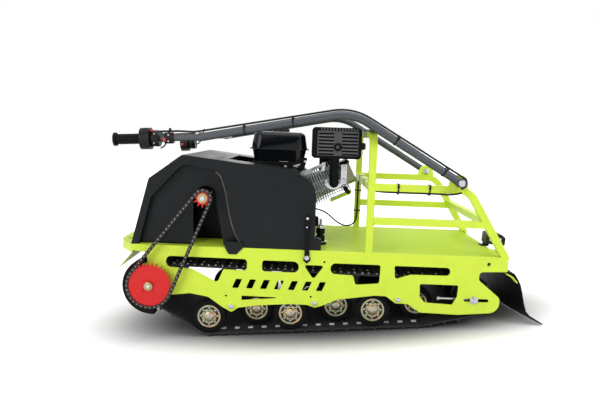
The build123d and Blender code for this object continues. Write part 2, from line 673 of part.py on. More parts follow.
def hood_strap():
    """Left rubber strap from a hook on the hood to a bolt on the panel."""
    face = rounded(((STRAP_X - 8, STRAP_TOP_Z + 6, 5), (STRAP_X + 8, STRAP_TOP_Z + 6, 5),
                    (STRAP_X + 11, STRAP_FOOT_Z - 8, 7), (STRAP_X - 7, STRAP_FOOT_Z - 8, 7)))
    seat = max(HALF_WIDTH, HOOD_HALF)
    strap = slab(face, -seat - STRAP_T, -seat - SEAT_GAP)
    strap += disc(STRAP_X, STRAP_TOP_Z - 2, 5, -seat - 2 * STRAP_T, -HOOD_HALF - SEAT_GAP)
    return strap + disc(STRAP_X + 2, STRAP_FOOT_Z, 7, -seat - STRAP_T - 5, -HALF_WIDTH - SEAT_GAP)


def crankcase():
    """Engine crankcase on its feet, with the shaft boss of the drive side."""
    case = rounded(((-215, 112, 20), (36, 112, 12), (42, 200, 20), (20, 372, 10), (-190, 372, 40), (-215, 250, 40)))
    body = slab(case, -CASE_HALF_Y, CASE_HALF_Y)
    body -= along_cylinder(CYL_X, CYL_Z) * Pos(150 - SEAT_GAP, 0, 80) * Box(300, 3 * CASE_HALF_Y, 320)
    for x in (-195, -35):
        body += block(x, x + 50, -CASE_HALF_Y, CASE_HALF_Y, DECK_Z, 130)
    return body + disc(CRANK_X, CRANK_Z, 14, -CASE_HALF_Y - 60, CASE_HALF_Y)


def along_cylinder(x, z):
    """Placement whose local X runs up the cylinder's axis from the crankcase."""
    return Pos(x, 0, z) * Rot(0, -CYLINDER_TILT, 0)


CYL_X, CYL_Z = 20.0, 292.0
CYL_LENGTH = 142.0
FIN_COUNT = 15
FIN_T = 2.2
RIB_ZS = (-48.0, -16.0, 16.0, 48.0)    # ribs across the fins, from the cylinder's axis
RIB_DEPTH = 10.0
FIN_HALF_H, FIN_HALF_Y = 64.0, 92.0
BARREL_R = 50.0


def finned_cylinder():
    """Air-cooled barrel and head with square cooling fins."""
    barrel = Pos(CYL_LENGTH / 2, 0, 0) * (Rot(0, 90, 0) * Cylinder(BARREL_R, CYL_LENGTH))
    step = (CYL_LENGTH - FIN_T) / (FIN_COUNT - 1)
    body = barrel
    for index in range(FIN_COUNT):
        body += Pos(FIN_T / 2 + index * step, 0, 0) * Box(FIN_T, 2 * FIN_HALF_Y, 2 * FIN_HALF_H)
    for z in RIB_ZS:
        body += Pos(CYL_LENGTH / 2, RIB_DEPTH - FIN_HALF_Y, z) * Box(CYL_LENGTH, RIB_DEPTH, FIN_T)
    return along_cylinder(CYL_X, CYL_Z) * body


def valve_cover():
    """Pressed cover on the end of the cylinder head."""
    cover = Pos(CYL_LENGTH + SEAT_GAP + 17, 0, 2) * Box(34, 130, 92)
    cover = fillet(cover.edges().filter_by(Axis.X), 18)
    return along_cylinder(CYL_X, CYL_Z) * cover


def fuel_tank():
    """Two pressed tank halves with the rim where they are seamed."""
    def shell(width, depth, height, taper):
        plan = RectangleRounded(width, depth, TANK_CORNER_R)
        return extrude(plan, amount=height, taper=taper)
    upper = shell(212, 232, 64, 10)
    upper = fillet(upper.faces().sort_by(Axis.Z)[-1].edges(), TANK_CROWN_R)
    lower = mirror(shell(206, 226, 46, 12), about=Plane.XY)
    rim = Pos(0, 0, -2) * extrude(RectangleRounded(226, 246, TANK_CORNER_R + 5), amount=4)
    return Pos(TANK_X, TANK_Y, TANK_RIM_Z) * (upper + lower + rim)


def fuel_cap():
    """Round filler cap on top of the tank."""
    return Pos(TANK_X, TANK_Y, TANK_RIM_Z + 64 + 7) * Cylinder(32, 14)


def tank_brackets():
    """Two brackets between the crankcase and the tank."""
    return [block(x, x + 24, -60, 40, 372, TANK_RIM_Z - 46) for x in (-165, -70)]


MUFFLER_X = (18.0, 202.0)
MUFFLER_Z = (418.0, 533.0)
MUFFLER_Y = (-142.0, -30.0)
GUARD_WALL = 3.0
LOUVRE_ROWS, LOUVRE_PITCH, LOUVRE_H = 7, 12.6, 5.0
LOUVRE_COLUMNS = ((44.0, 98.0), (130.0, 186.0))


def silencer_guard():
    """Pressed guard round the silencer, louvred on its near face and top."""
    (x0, x1), (z0, z1), (y0, y1) = MUFFLER_X, MUFFLER_Z, MUFFLER_Y
    outer = fillet(block(x0, x1, y0, y1, z0, z1).edges().filter_by(Axis.Y), 14)
    inner = fillet(block(x0 + GUARD_WALL, x1 - GUARD_WALL, y0 + GUARD_WALL, y1 + 1, z0 + GUARD_WALL,
                         z1 - GUARD_WALL).edges().filter_by(Axis.Y), 11)
    guard = outer - inner
    for row in range(LOUVRE_ROWS):
        z = z0 + 14 + row * LOUVRE_PITCH
        for left, right in LOUVRE_COLUMNS:
            guard -= block(left, right, y0 - 1, y0 + GUARD_WALL + 1, z, z + LOUVRE_H)
    for index in range(9):
        x = x0 + 36 + index * 13
        guard -= block(x, x + 6, y0 + 14, y1 - 20, z1 - GUARD_WALL - 1, z1 + 1)
    guard += disc((x0 + x1) / 2 + 4, (z0 + z1) / 2 - 14, 13, y0 - 4, y0 + GUARD_WALL)
    return guard + Pos(x1 + 9, -90, 466) * (Rot(0, 90, 0) * Cylinder(11, 20))


def silencer():
    """Silencer can inside its guard."""
    (x0, x1), (z0, z1), (y0, y1) = MUFFLER_X, MUFFLER_Z, MUFFLER_Y
    gap = 10
    can = block(x0 + gap, x1 - gap, y0 + gap, y1, z0 + GUARD_WALL + SEAT_GAP, z1 - gap)
    return fillet(can.edges().filter_by(Axis.Y), 14)


EXHAUST_X, EXHAUST_Z, EXHAUST_R = 106.0, 326.0, 18.0
EXHAUST_Y = -122.0
FLANGE_T = 6.0
BRACKET_X, BRACKET_W, BRACKET_Z = 143.0, 22.0, (322.0, 396.0)


def exhaust_pipe():
    """Pipe up from the head's port into the silencer, closed at its foot."""
    top = MUFFLER_Z[0] - SEAT_GAP
    foot_y = -FIN_HALF_Y - SEAT_GAP - FLANGE_T
    elbow = Pos(EXHAUST_X, EXHAUST_Y, (EXHAUST_Z + top) / 2) * Cylinder(EXHAUST_R, top - EXHAUST_Z)
    elbow += Pos(EXHAUST_X, EXHAUST_Y, EXHAUST_Z) * Sphere(EXHAUST_R)
    return elbow + disc(EXHAUST_X, EXHAUST_Z, EXHAUST_R - 1, EXHAUST_Y, foot_y)


def exhaust_flange():
    """Flange that holds the pipe on the head, and the flat stay from the head to the silencer guard."""
    y = -FIN_HALF_Y - SEAT_GAP
    ears = rounded(((EXHAUST_X - 34, EXHAUST_Z - 10, 9), (EXHAUST_X - 12, EXHAUST_Z - 27, 14),
                    (EXHAUST_X + 12, EXHAUST_Z - 27, 14), (EXHAUST_X + 34, EXHAUST_Z - 10, 9),
                    (EXHAUST_X + 34, EXHAUST_Z + 10, 9), (EXHAUST_X - 34, EXHAUST_Z + 10, 9)))
    flange = slab(ears, y - FLANGE_T, y)
    low, high = BRACKET_Z
    half = BRACKET_W / 2
    stay = rounded(((BRACKET_X - half, low, 8), (BRACKET_X + half, low, 8), (BRACKET_X + half, high, 5),
                    (BRACKET_X - half, high, 5)))
    flange += slab(stay, y - FLANGE_T - 14, y - FLANGE_T - 10)
    for z in (low + 14, high - 12):
        flange += disc(BRACKET_X, z, 6, y - FLANGE_T - 20, y - FLANGE_T - 10)
    return flange + disc(BRACKET_X, low + 14, 6, y - FLANGE_T - 10, y)


CLEANER = (30.0, 190.0, 5.0, 150.0, 436.0, 530.0)


def air_cleaner():
    """Air cleaner on the far side of the head, on its carburettor with the float bowl."""
    x0, x1, y0, y1, z0, z1 = CLEANER
    body = fillet(block(x0, x1, y0, y1, z0, z1).edges().filter_by(Axis.Z), 24)
    lid = fillet(block(x0 - 4, x1 + 4, y0 - 4, y1 + 4, z1 - 34, z1 - 26).edges().filter_by(Axis.Z), 27)
    carburettor = block(x0 + 22, x0 + 70, FIN_HALF_Y + SEAT_GAP, FIN_HALF_Y + 44, z0 - 92, z0)
    bowl = Pos(x0 + 46, FIN_HALF_Y + 22, z0 - 104) * Cylinder(20, 24)
    return body + lid + carburettor + bowl


def recoil_starter():
    """Fan housing and recoil starter on the far end of the crankshaft."""
    body = disc(CRANK_X, CRANK_Z, 118, CASE_HALF_Y, CASE_HALF_Y + 48)
    return body + disc(CRANK_X, CRANK_Z, 84, CASE_HALF_Y + 48, CASE_HALF_Y + 84)


def cage_hoop():
    """Front hoop: two posts and the top bar bent from one square tube."""
    return square_pipe(((HOOP_X, -TUBE_Y, DECK_Z), (HOOP_X, -TUBE_Y, HOOP_TOP_Z), (HOOP_X, TUBE_Y, HOOP_TOP_Z),
                        (HOOP_X, TUBE_Y, DECK_Z)), HOOP_BEND_R, TUBE, (1, 0, 0))


def rear_post_x(z):
    """Centre line of the slanted rear post at a height."""
    return REAR_FOOT_X + (z - DECK_Z) * (REAR_BEND_X - REAR_FOOT_X) / (RAIL_Z - DECK_Z)


def cage_side():
    """Left upper rail bent down into the rear post, with the lower rail between post and hoop."""
    start = HOOP_X + TUBE / 2 + SEAT_GAP
    post = square_pipe(((start, -TUBE_Y, RAIL_Z), (REAR_BEND_X, -TUBE_Y, RAIL_Z),
                        (rear_post_x(DECK_Z - 12), -TUBE_Y, DECK_Z - 12)), CAGE_BEND_R, TUBE)
    low = block(start, rear_post_x(LOW_RAIL_Z), -TUBE_Y - TUBE / 2, -TUBE_Y + TUBE / 2, LOW_RAIL_Z - TUBE / 2,
                LOW_RAIL_Z + TUBE / 2)
    below = slab(rounded(PANEL_OUTLINE), -2 * HALF_WIDTH, 0)
    behind = block(TAIL_X, 2 * TAIL_X, -2 * HALF_WIDTH, 0, 0, DECK_Z)
    return post + low - below - behind - deck()


def cage_cross_tubes():
    """Cross tubes: one between the hoop's posts and one between the rear posts."""
    half = TUBE_Y - TUBE / 2 - SEAT_GAP
    front = block(HOOP_X - TUBE / 2, HOOP_X + TUBE / 2, -half, half, RAIL_Z - TUBE / 2, RAIL_Z + TUBE / 2)
    rear_x = rear_post_x(LOW_RAIL_Z + 8)
    rear = block(rear_x - TUBE / 2, rear_x + TUBE / 2, -half, half, LOW_RAIL_Z - 4, LOW_RAIL_Z + TUBE - 4)
    return [front, rear]


EAR_T = 6.0
EAR_R = 25.0


def hinge_ear():
    """Left ear on the upper rail with the pin that the tiller turns on."""
    foot = RAIL_Z
    face = rounded(((PIVOT_X - 40, foot, 2), (PIVOT_X + 34, foot, 2), (PIVOT_X + 26, PIVOT_Z + EAR_R, EAR_R - 1),
                    (PIVOT_X - 26, PIVOT_Z + EAR_R, EAR_R - 1)))
    ear = slab(face, -HALF_WIDTH, -HALF_WIDTH + EAR_T) - cage_side()
    ear += disc(PIVOT_X, PIVOT_Z, PIN_R, -ARM_Y - ARM_R - 3, -HALF_WIDTH)
    return ear + disc(PIVOT_X, PIVOT_Z, 9, -ARM_Y - ARM_R - 9, -ARM_Y - ARM_R - 3)


ARM_LINE = (
    # x, z of one arm's centre line, from the pivot to the grips
    (PIVOT_X, PIVOT_Z), (150.0, 583.0), (-374.0, 481.0),
)
ARM_BEND_R = 170.0
BAR_FRONT_X, BAR_FRONT_Z = -655.0, 466.0
BAR_Y = ARM_Y
BAR_OVERLAP = 20.0      # how far a handlebar end is pushed into its arm
TIE_X, TIE_Z = -345.0, 486.6
CROSS_Z = HOOP_TOP_Z + TUBE / 2 + SEAT_GAP
CROSS_FROM_X, CROSS_TO_X, CROSS_T = HOOP_X - 18, HOOP_X + 26, 5.0
EYE_HALF = ARM_R - 2


def tiller_frame():
    """Welded tiller: two bent arms with handlebar ends, a tie tube and the plate that rests on the cage."""
    frame = block(CROSS_FROM_X, CROSS_TO_X, -ARM_Y, ARM_Y, CROSS_Z, CROSS_Z + CROSS_T)
    frame += pipe(((TIE_X, -ARM_Y, TIE_Z), (TIE_X, ARM_Y, TIE_Z)), 0, BAR_R)
    end_x, end_z = ARM_LINE[-1]
    for side in (-1, 1):
        y = side * ARM_Y
        arm = pipe([(x, y, z) for x, z in ARM_LINE], ARM_BEND_R, ARM_R)
        arm += pipe(((end_x + BAR_OVERLAP, y, end_z + 2), (BAR_FRONT_X, y, BAR_FRONT_Z)), 0, BAR_R)
        arm += disc(PIVOT_X, PIVOT_Z, ARM_R + 3, y - EYE_HALF, y + EYE_HALF)
        arm -= disc(PIVOT_X, PIVOT_Z, PIN_R + 0.05, y - ARM_R - 1, y + ARM_R + 1)
        frame += arm
    return frame


def bar_place(along):
    """Placement on the left handlebar end, its local Z running along the bar from the front."""
    end_x, end_z = ARM_LINE[-1]
    front = Vector(BAR_FRONT_X, -BAR_Y, BAR_FRONT_Z)
    back = Vector(end_x + BAR_OVERLAP, -BAR_Y, end_z + 2)
    direction = (back - front).normalized()
    return Plane(front + direction * along, x_dir=(0, 1, 0), z_dir=direction)


GRIP_LENGTH = 86.0


def grip():
    """Left rubber grip with its flange, pushed onto the handlebar's end."""
    sleeve = Circle(GRIP_R) - Circle(BAR_R + 0.05)
    body = bar_place(0) * extrude(sleeve, amount=GRIP_LENGTH)
    end = bar_place(-7) * Cylinder(GRIP_R + 6, 8, align=(Align.CENTER, Align.CENTER, Align.MIN))
    end -= bar_place(0) * Cylinder(BAR_R + 0.05, 20, align=(Align.CENTER, Align.CENTER, Align.MIN))
    return body + end


POD_RINGS = (
    # start from the grip's end, length, radius
    (1.0, 34.0, 37.0), (35.0, 30.0, 27.0), (82.0, 30.0, 19.0),
)
RIGHT_POD_DROP = 26.0
CLAMP_R = BAR_R + 7


def control_pod(drop=0.0):
    """Control pod on the left bar: throttle drum with its switch block, and a lever clamp; drop lowers the drum."""
    rings = []
    for start, length, radius in POD_RINGS:
        section = Circle(radius) - Circle(BAR_R + 0.05)
        if drop and radius > CLAMP_R + 2:
            section = Pos(0, -drop) * Circle(radius) + Circle(CLAMP_R) - Circle(BAR_R + 0.05)
        rings.append(bar_place(GRIP_LENGTH + start) * extrude(section, amount=length))
    drum, block_ring, clamp = rings
    return [drum + block_ring, clamp]


MOUNT_X, MOUNT_Y = 62.0, -150.0
MOUNT_PROFILE = (
    # radius, height above the deck
    (0, 0), (23, 0), (23, 10), (17, 14), (17, 30), (13, 34), (13, 38), (17, 42), (17, 58), (9, 61), (9, 72), (5, 72),
    (5, 96), (0, 96),
)


def rubber_mount():
    """Rubber engine mount with its bolt, on the deck behind the hood."""
    outline = make_face(Polyline(*[(r, h) for r, h in MOUNT_PROFILE], close=True))
    turned = revolve(Plane.XZ * outline, Axis.Z)
    return Pos(MOUNT_X, MOUNT_Y, DECK_Z) * turned


EYE_R = ARM_R + 3
WRAP_R = EYE_R + SEAT_GAP + CABLE_R
WRAP_CORNERS, WRAP_END = 4, -80.0


def cord_pipe(points, radii):
    """A cable along runs joined by tangent arcs, one radius for each corner."""
    path = FilletPolyline(*points, radius=radii)
    return sweep(Plane(path @ 0, z_dir=path % 0) * Circle(CABLE_R), path=path)


def free_radii(points, label):
    """Radius of each corner of a free cable, as large as its shorter run allows, printed for a check."""
    spots = [Vector(*point) for point in points]
    radii = []
    for before, here, after in zip(spots, spots[1:], spots[2:]):
        turn = math.radians((here - before).get_angle(after - here))
        shorter = min((here - before).length, (after - here).length)
        radii.append(0.45 * shorter / math.tan(turn / 2))
    print(label, "radii", [round(radius, 1) for radius in radii])
    return radii


def cable_tiller():
    """Cable on top of the left arm, from the control pod to the eye that it bends round."""
    (pivot_x, pivot_z), (bend_x, bend_z), (end_x, end_z) = ARM_LINE
    lower = Vector(bend_x - pivot_x, bend_z - pivot_z).normalized()
    upper = Vector(end_x - bend_x, end_z - bend_z).normalized()
    reach = ARM_R + SEAT_GAP + CABLE_R
    lower_up, upper_up = Vector(-lower.Y, lower.X) * -1, Vector(-upper.Y, upper.X) * -1
    half_turn = math.radians(lower.get_angle(upper)) / 2
    crown = Vector(bend_x, bend_z) + (lower_up + upper_up).normalized() * (reach / math.cos(half_turn))
    start_angle = math.degrees(math.atan2(lower_up.Y, lower_up.X))
    step = (start_angle - WRAP_END) / WRAP_CORNERS
    corner_r = WRAP_R / math.cos(math.radians(step / 2))
    wrap = [(PIVOT_X + WRAP_R * math.cos(math.radians(WRAP_END)), PIVOT_Z + WRAP_R * math.sin(math.radians(WRAP_END)))]
    for index in reversed(range(WRAP_CORNERS)):
        angle = math.radians(start_angle - (index + 0.5) * step)
        wrap.append((PIVOT_X + corner_r * math.cos(angle), PIVOT_Z + corner_r * math.sin(angle)))
    route = wrap + [(crown.X, crown.Y), *CABLE_FRONT]
    radii = [0.9 * WRAP_R] * WRAP_CORNERS + [ARM_BEND_R + reach] + [CABLE_EASE_R] * (len(CABLE_FRONT) - 1)
    return cord_pipe([(x, -ARM_Y, z) for x, z in route], radii)


CABLE_FRONT = ((-385.0, 500.2), (-440.0, 501.2), (-503.7, 498.0))
CABLE_EASE_R = 150.0
RAIL_CABLE_Z = RAIL_Z - TUBE / 2 - SEAT_GAP - CABLE_R
POST_CABLE_Y = TUBE_Y - TUBE / 2 - SEAT_GAP - CABLE_R
RAIL_ROUTE = (
    # x, y, z from the hinge along the left rail, across the hoop and down its right post
    (539.0, -294.0, 323.0), (517.0, -292.0, 317.0), (493.0, -282.0, RAIL_CABLE_Z), (462.0, -268.0, RAIL_CABLE_Z),
    (272.0, -266.0, RAIL_CABLE_Z), (HOOP_X, -222.0, RAIL_CABLE_Z), (HOOP_X, POST_CABLE_Y, RAIL_CABLE_Z),
    (HOOP_X, POST_CABLE_Y, 160.0),
)
RAIL_RADII = (50.0, 45.0, 45.0, 60.0, 28.0, 24.0)
LOOP_ROUTE = (
    # x, y, z of the free loop from the right post to the crankcase
    (HOOP_X, POST_CABLE_Y, 159.4), (230.0, 243.0, 131.0), (210.0, 232.0, 110.0), (178.0, 214.0, 107.0),
    (146.0, 188.0, 124.0), (118.0, 156.0, 150.0), (94.0, 124.0, 174.0), (68.0, 102.0, 190.0),
    (44.0, 86.0, 197.0),
)


def cable_rail():
    """Cable held along the left rail, across the hoop and down to its tie on the right post."""
    return cord_pipe(RAIL_ROUTE, list(RAIL_RADII))


def cable_loop():
    """Loose loop of the cable between the right post and the engine."""
    return cord_pipe(LOOP_ROUTE, free_radii(LOOP_ROUTE, "cable_loop"))


LAMP_PROFILE = (
    # x, z, corner radius
    (703, 108, 4), (777, 101, 6), (779, 132, 6), (764, 145, 6), (706, 151, 5),
)
LAMP_Y = (-84.0, -28.0)
LAMP_FOOT_L = 30.0


def rear_lamp():
    """Lamp above the deck's rear edge, beside the way down to the hitch's pin."""
    return slab(rounded(LAMP_PROFILE), *LAMP_Y)


def lamp_bracket():
    """Foot on the deck that carries the lamp."""
    low, high = LAMP_Y
    front_x, foot_z = LAMP_PROFILE[0][0] - 14, LAMP_PROFILE[0][1]
    foot = block(front_x, front_x + LAMP_FOOT_L, low + 10, high - 10, DECK_Z, DECK_Z + 3)
    stem = block(front_x + 16, front_x + LAMP_FOOT_L, low + 10, high - 10, DECK_Z, foot_z + 8)
    return foot + stem - rear_lamp()


FLAP_SIDE = (
    # x, z of the flap's rear face at its left edge
    (LIP_X + SEAT_GAP, 44.0), (745.0, 41.0), (757.0, 36.0), (770.0, 17.0), (781.0, -5.0), (789.0, -34.0), (799.0, -75.0),
    (808.0, -100.0), (822.0, -115.0), (871.0, -143.0),
)
FLAP_MIDDLE = (
    # the same points from halfway across to its right edge
    (LIP_X + SEAT_GAP, 44.0), (745.0, 41.0), (757.0, 36.0), (770.0, 17.0), (780.0, -5.0), (787.0, -34.0), (795.0, -75.0),
    (801.0, -100.0), (807.0, -120.0), (821.0, -148.0),
)
FLAP_SPREAD = 1.3       # how the kick of the foot grows towards the left
FLAP_SECTIONS = (1.0, 0.0, -0.28, -0.54, -0.78, -1.0)
FLAP_HALF = 262.0
FLAP_SHIFT = (-3.9, -3.1)   # from the flap's rear face to its front face


def flap_section(share):
    """The flap's section at a share of its half width, -1 being its left edge."""
    kick = max(0.0, -share) ** FLAP_SPREAD
    back = [(x0 + (x1 - x0) * kick, z0 + (z1 - z0) * kick) for (x0, z0), (x1, z1) in zip(FLAP_MIDDLE, FLAP_SIDE)]
    front = [(x + FLAP_SHIFT[0], z + FLAP_SHIFT[1]) for x, z in back]
    front[0] = (back[0][0], front[0][1])
    ring = [Vector(x, share * FLAP_HALF, z) for x, z in back + front[::-1]]
    return make_face(Polyline(*ring, close=True))


def mudflap():
    """Rubber flap across the whole rear, its foot kicked back towards the left corner."""
    return loft([flap_section(share) for share in FLAP_SECTIONS], ruled=True)


HOLDER_LINE = ((723.0, 35.5), (745.0, 25.0), (763.0, 5.0))
HOLDER_W, HOLDER_T = 40.0, 4.0


def flap_holders():
    """Two stays from the panels' tails that hold the flap out."""
    face = strip(HOLDER_LINE, 6, HOLDER_T)
    near = slab(face, -INNER_HALF, -INNER_HALF + HOLDER_W)
    return [near, mirrored(near)]


HITCH_X, HITCH_Z, HITCH_R, HITCH_T = 772.0, 62.0, 8.2, 10.0


def tow_hitch():
    """Tongue on the rear lip for a tow bar's pin."""
    plate = block(LIP_X, HITCH_X + 20, -22, 22, HITCH_Z - HITCH_T / 2, HITCH_Z + HITCH_T / 2)
    plate = fillet(plate.edges().filter_by(Axis.Z).sort_by(Axis.X)[-2:], 18)
    return plate - Pos(HITCH_X, 0, HITCH_Z) * Cylinder(HITCH_R, 20)


def model():
    """Every node of the machine, level with its deck, by name."""
    nodes = {
        "side_panel_left": side_panel(),
        "side_panel_right": mirrored(side_panel()),
        "deck": deck(),
        "bumper": bumper(),
        "front_deflector": front_deflector(),
        "drive_guard": drive_guard(),
        "track": track(),
        "drive_axle": drive_axle(),
        "axle_bearings": axle_bearings(),
        "rear_idler": rear_idler(),
        "big_sprocket": big_sprocket(),
        "small_sprocket": small_sprocket(),
        "chain": chain(),
        "jackshaft": jackshaft(),
        "jackshaft_stand": jackshaft_stand(),
        "hood": hood(),
        "crankcase": crankcase(),
        "finned_cylinder": finned_cylinder(),
        "valve_cover": valve_cover(),
        "fuel_tank": fuel_tank(),
        "fuel_cap": fuel_cap(),
        "tank_brackets": tank_brackets(),
        "silencer_guard": silencer_guard(),
        "silencer": silencer(),
        "exhaust_pipe": exhaust_pipe(),
        "exhaust_flange": exhaust_flange(),
        "rubber_mount": rubber_mount(),
        "cable_tiller": cable_tiller(),
        "cable_rail": cable_rail(),
        "cable_loop": cable_loop(),
        "air_cleaner": air_cleaner(),
        "recoil_starter": recoil_starter(),
        "cage_hoop": cage_hoop(),
        "cage_cross_tubes": cage_cross_tubes(),
        "tiller_frame": tiller_frame(),
        "rear_lamp": rear_lamp(),
        "lamp_bracket": lamp_bracket(),
        "tow_hitch": tow_hitch(),
        "mudflap": mudflap(),
        "flap_holders": flap_holders(),
    }
    pairs = {
        "roller_tyres": roller_tyres(), "roller_discs": roller_discs(), "bogie_frames": bogie_frames(),
        "tensioner": tensioner(), "hood_strap": hood_strap(), "cage_side": cage_side(), "hinge_ear": hinge_ear(),
        "grip": grip(), "control_pod": control_pod(),
    }
    right_pod = control_pod(RIGHT_POD_DROP)
    for name, shape in pairs.items():
        shapes = shape if isinstance(shape, list) else [shape]
        nodes[f"{name}_left"] = shapes
        nodes[f"{name}_right"] = [mirrored(piece) for piece in (right_pod if name == "control_pod" else shapes)]
    return nodes


def seat_on_ground(nodes):
    """Tip every node onto the track's flat run and put the origin under the middle of the whole."""
    tipped = {name: Compound(children=[Rot(0, STANCE_TILT, 0) * piece for piece in
                                       (shape if isinstance(shape, list) else [shape])])
              for name, shape in nodes.items()}
    boxes = [shape.bounding_box() for shape in tipped.values()]
    low = [min(getattr(box.min, axis) for box in boxes) for axis in "XYZ"]
    high = [max(getattr(box.max, axis) for box in boxes) for axis in "XYZ"]
    shift = Pos(-(low[0] + high[0]) / 2, -(low[1] + high[1]) / 2, -low[2])
    return {name: shift * shape for name, shape in tipped.items()}, shift * Rot(0, STANCE_TILT, 0)


def main():
    """Write every node to its own file."""
    os.makedirs("parts", exist_ok=True)
    nodes, _ = seat_on_ground(model())
    for name, shape in nodes.items():
        export_step(shape, f"parts/{name}.step")


if __name__ == "__main__":
    main()
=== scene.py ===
"""Looks of a tracked motor tow unit: its finishes, its small parts, a pale studio and the camera."""
from __future__ import annotations

import json
import logging
import random
from dataclasses import dataclass, field
from math import asin, cos, pi, radians, sin, tan, tau

import bmesh
import bpy
from mathutils import Matrix, Vector

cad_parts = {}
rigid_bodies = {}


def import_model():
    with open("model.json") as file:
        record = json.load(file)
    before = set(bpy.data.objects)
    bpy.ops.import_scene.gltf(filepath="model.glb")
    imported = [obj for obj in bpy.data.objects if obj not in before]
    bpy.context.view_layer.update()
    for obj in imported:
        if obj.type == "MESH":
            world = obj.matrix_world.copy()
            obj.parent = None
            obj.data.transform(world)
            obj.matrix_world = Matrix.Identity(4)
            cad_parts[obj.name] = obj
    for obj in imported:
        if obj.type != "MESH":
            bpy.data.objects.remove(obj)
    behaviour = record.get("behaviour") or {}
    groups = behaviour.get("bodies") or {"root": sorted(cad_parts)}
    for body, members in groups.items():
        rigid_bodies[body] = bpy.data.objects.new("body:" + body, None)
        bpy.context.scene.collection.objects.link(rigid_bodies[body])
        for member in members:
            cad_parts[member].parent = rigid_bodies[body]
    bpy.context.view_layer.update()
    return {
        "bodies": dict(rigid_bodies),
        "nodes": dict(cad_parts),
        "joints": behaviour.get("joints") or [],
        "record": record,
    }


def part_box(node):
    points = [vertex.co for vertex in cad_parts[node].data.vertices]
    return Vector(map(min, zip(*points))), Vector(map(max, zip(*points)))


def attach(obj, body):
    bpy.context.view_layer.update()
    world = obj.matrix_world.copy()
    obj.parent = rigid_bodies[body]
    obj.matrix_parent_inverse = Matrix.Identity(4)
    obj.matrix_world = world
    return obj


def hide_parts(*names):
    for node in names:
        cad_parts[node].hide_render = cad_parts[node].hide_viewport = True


LOG = logging.getLogger("tow_unit")
MM = 0.001
MACHINE = "machine"
TILLER = "tiller"

Pair = tuple[float, float]
Point = tuple[float, float, float]
Colour = tuple[float, float, float]

# ways that a fastener or a turned part looks
LEFT: Point = (0.0, -1.0, 0.0)
RIGHT: Point = (0.0, 1.0, 0.0)
UP: Point = (0.0, 0.0, 1.0)
REAR: Point = (1.0, 0.0, 0.0)
SIDES = ((-1, LEFT), (1, RIGHT))

# axes that several assemblies share, as (x, z) in the machine's own millimetres
HINGE = (533.0, 357.0)
DRIVE = (-541.0, -46.0)


class Wire:
    """A shader socket that takes part in arithmetic, each operator adding its Math node."""

    def __init__(self, tree: "Tree", socket: bpy.types.NodeSocket) -> None:
        """Wrap one output socket of a tree."""
        self.tree = tree
        self.socket = socket

    def math(self, operation: str, *values: "Wire | float") -> "Wire":
        """Add a Math node.

        Args:
            operation: The node's operation.
            values: Its inputs in order, wires or numbers.

        Returns:
            The node's result.
        """
        return self.tree.node("ShaderNodeMath", {"operation": operation}, dict(enumerate(values)))

    def __add__(self, other: "Wire | float") -> "Wire":
        """Sum."""
        return self.math("ADD", self, other)

    def __radd__(self, other: float) -> "Wire":
        """Sum with a number on the left."""
        return self.math("ADD", other, self)

    def __sub__(self, other: "Wire | float") -> "Wire":
        """Difference."""
        return self.math("SUBTRACT", self, other)

    def __mul__(self, other: "Wire | float") -> "Wire":
        """Product."""
        return self.math("MULTIPLY", self, other)

    def step(self, low: float, high: float) -> "Wire":
        """Ramp smoothly from 0 at low to 1 at high."""
        settings = {"interpolation_type": "SMOOTHSTEP"}
        return self.tree.node("ShaderNodeMapRange", settings, {0: self, 1: low, 2: high, 3: 0.0, 4: 1.0})


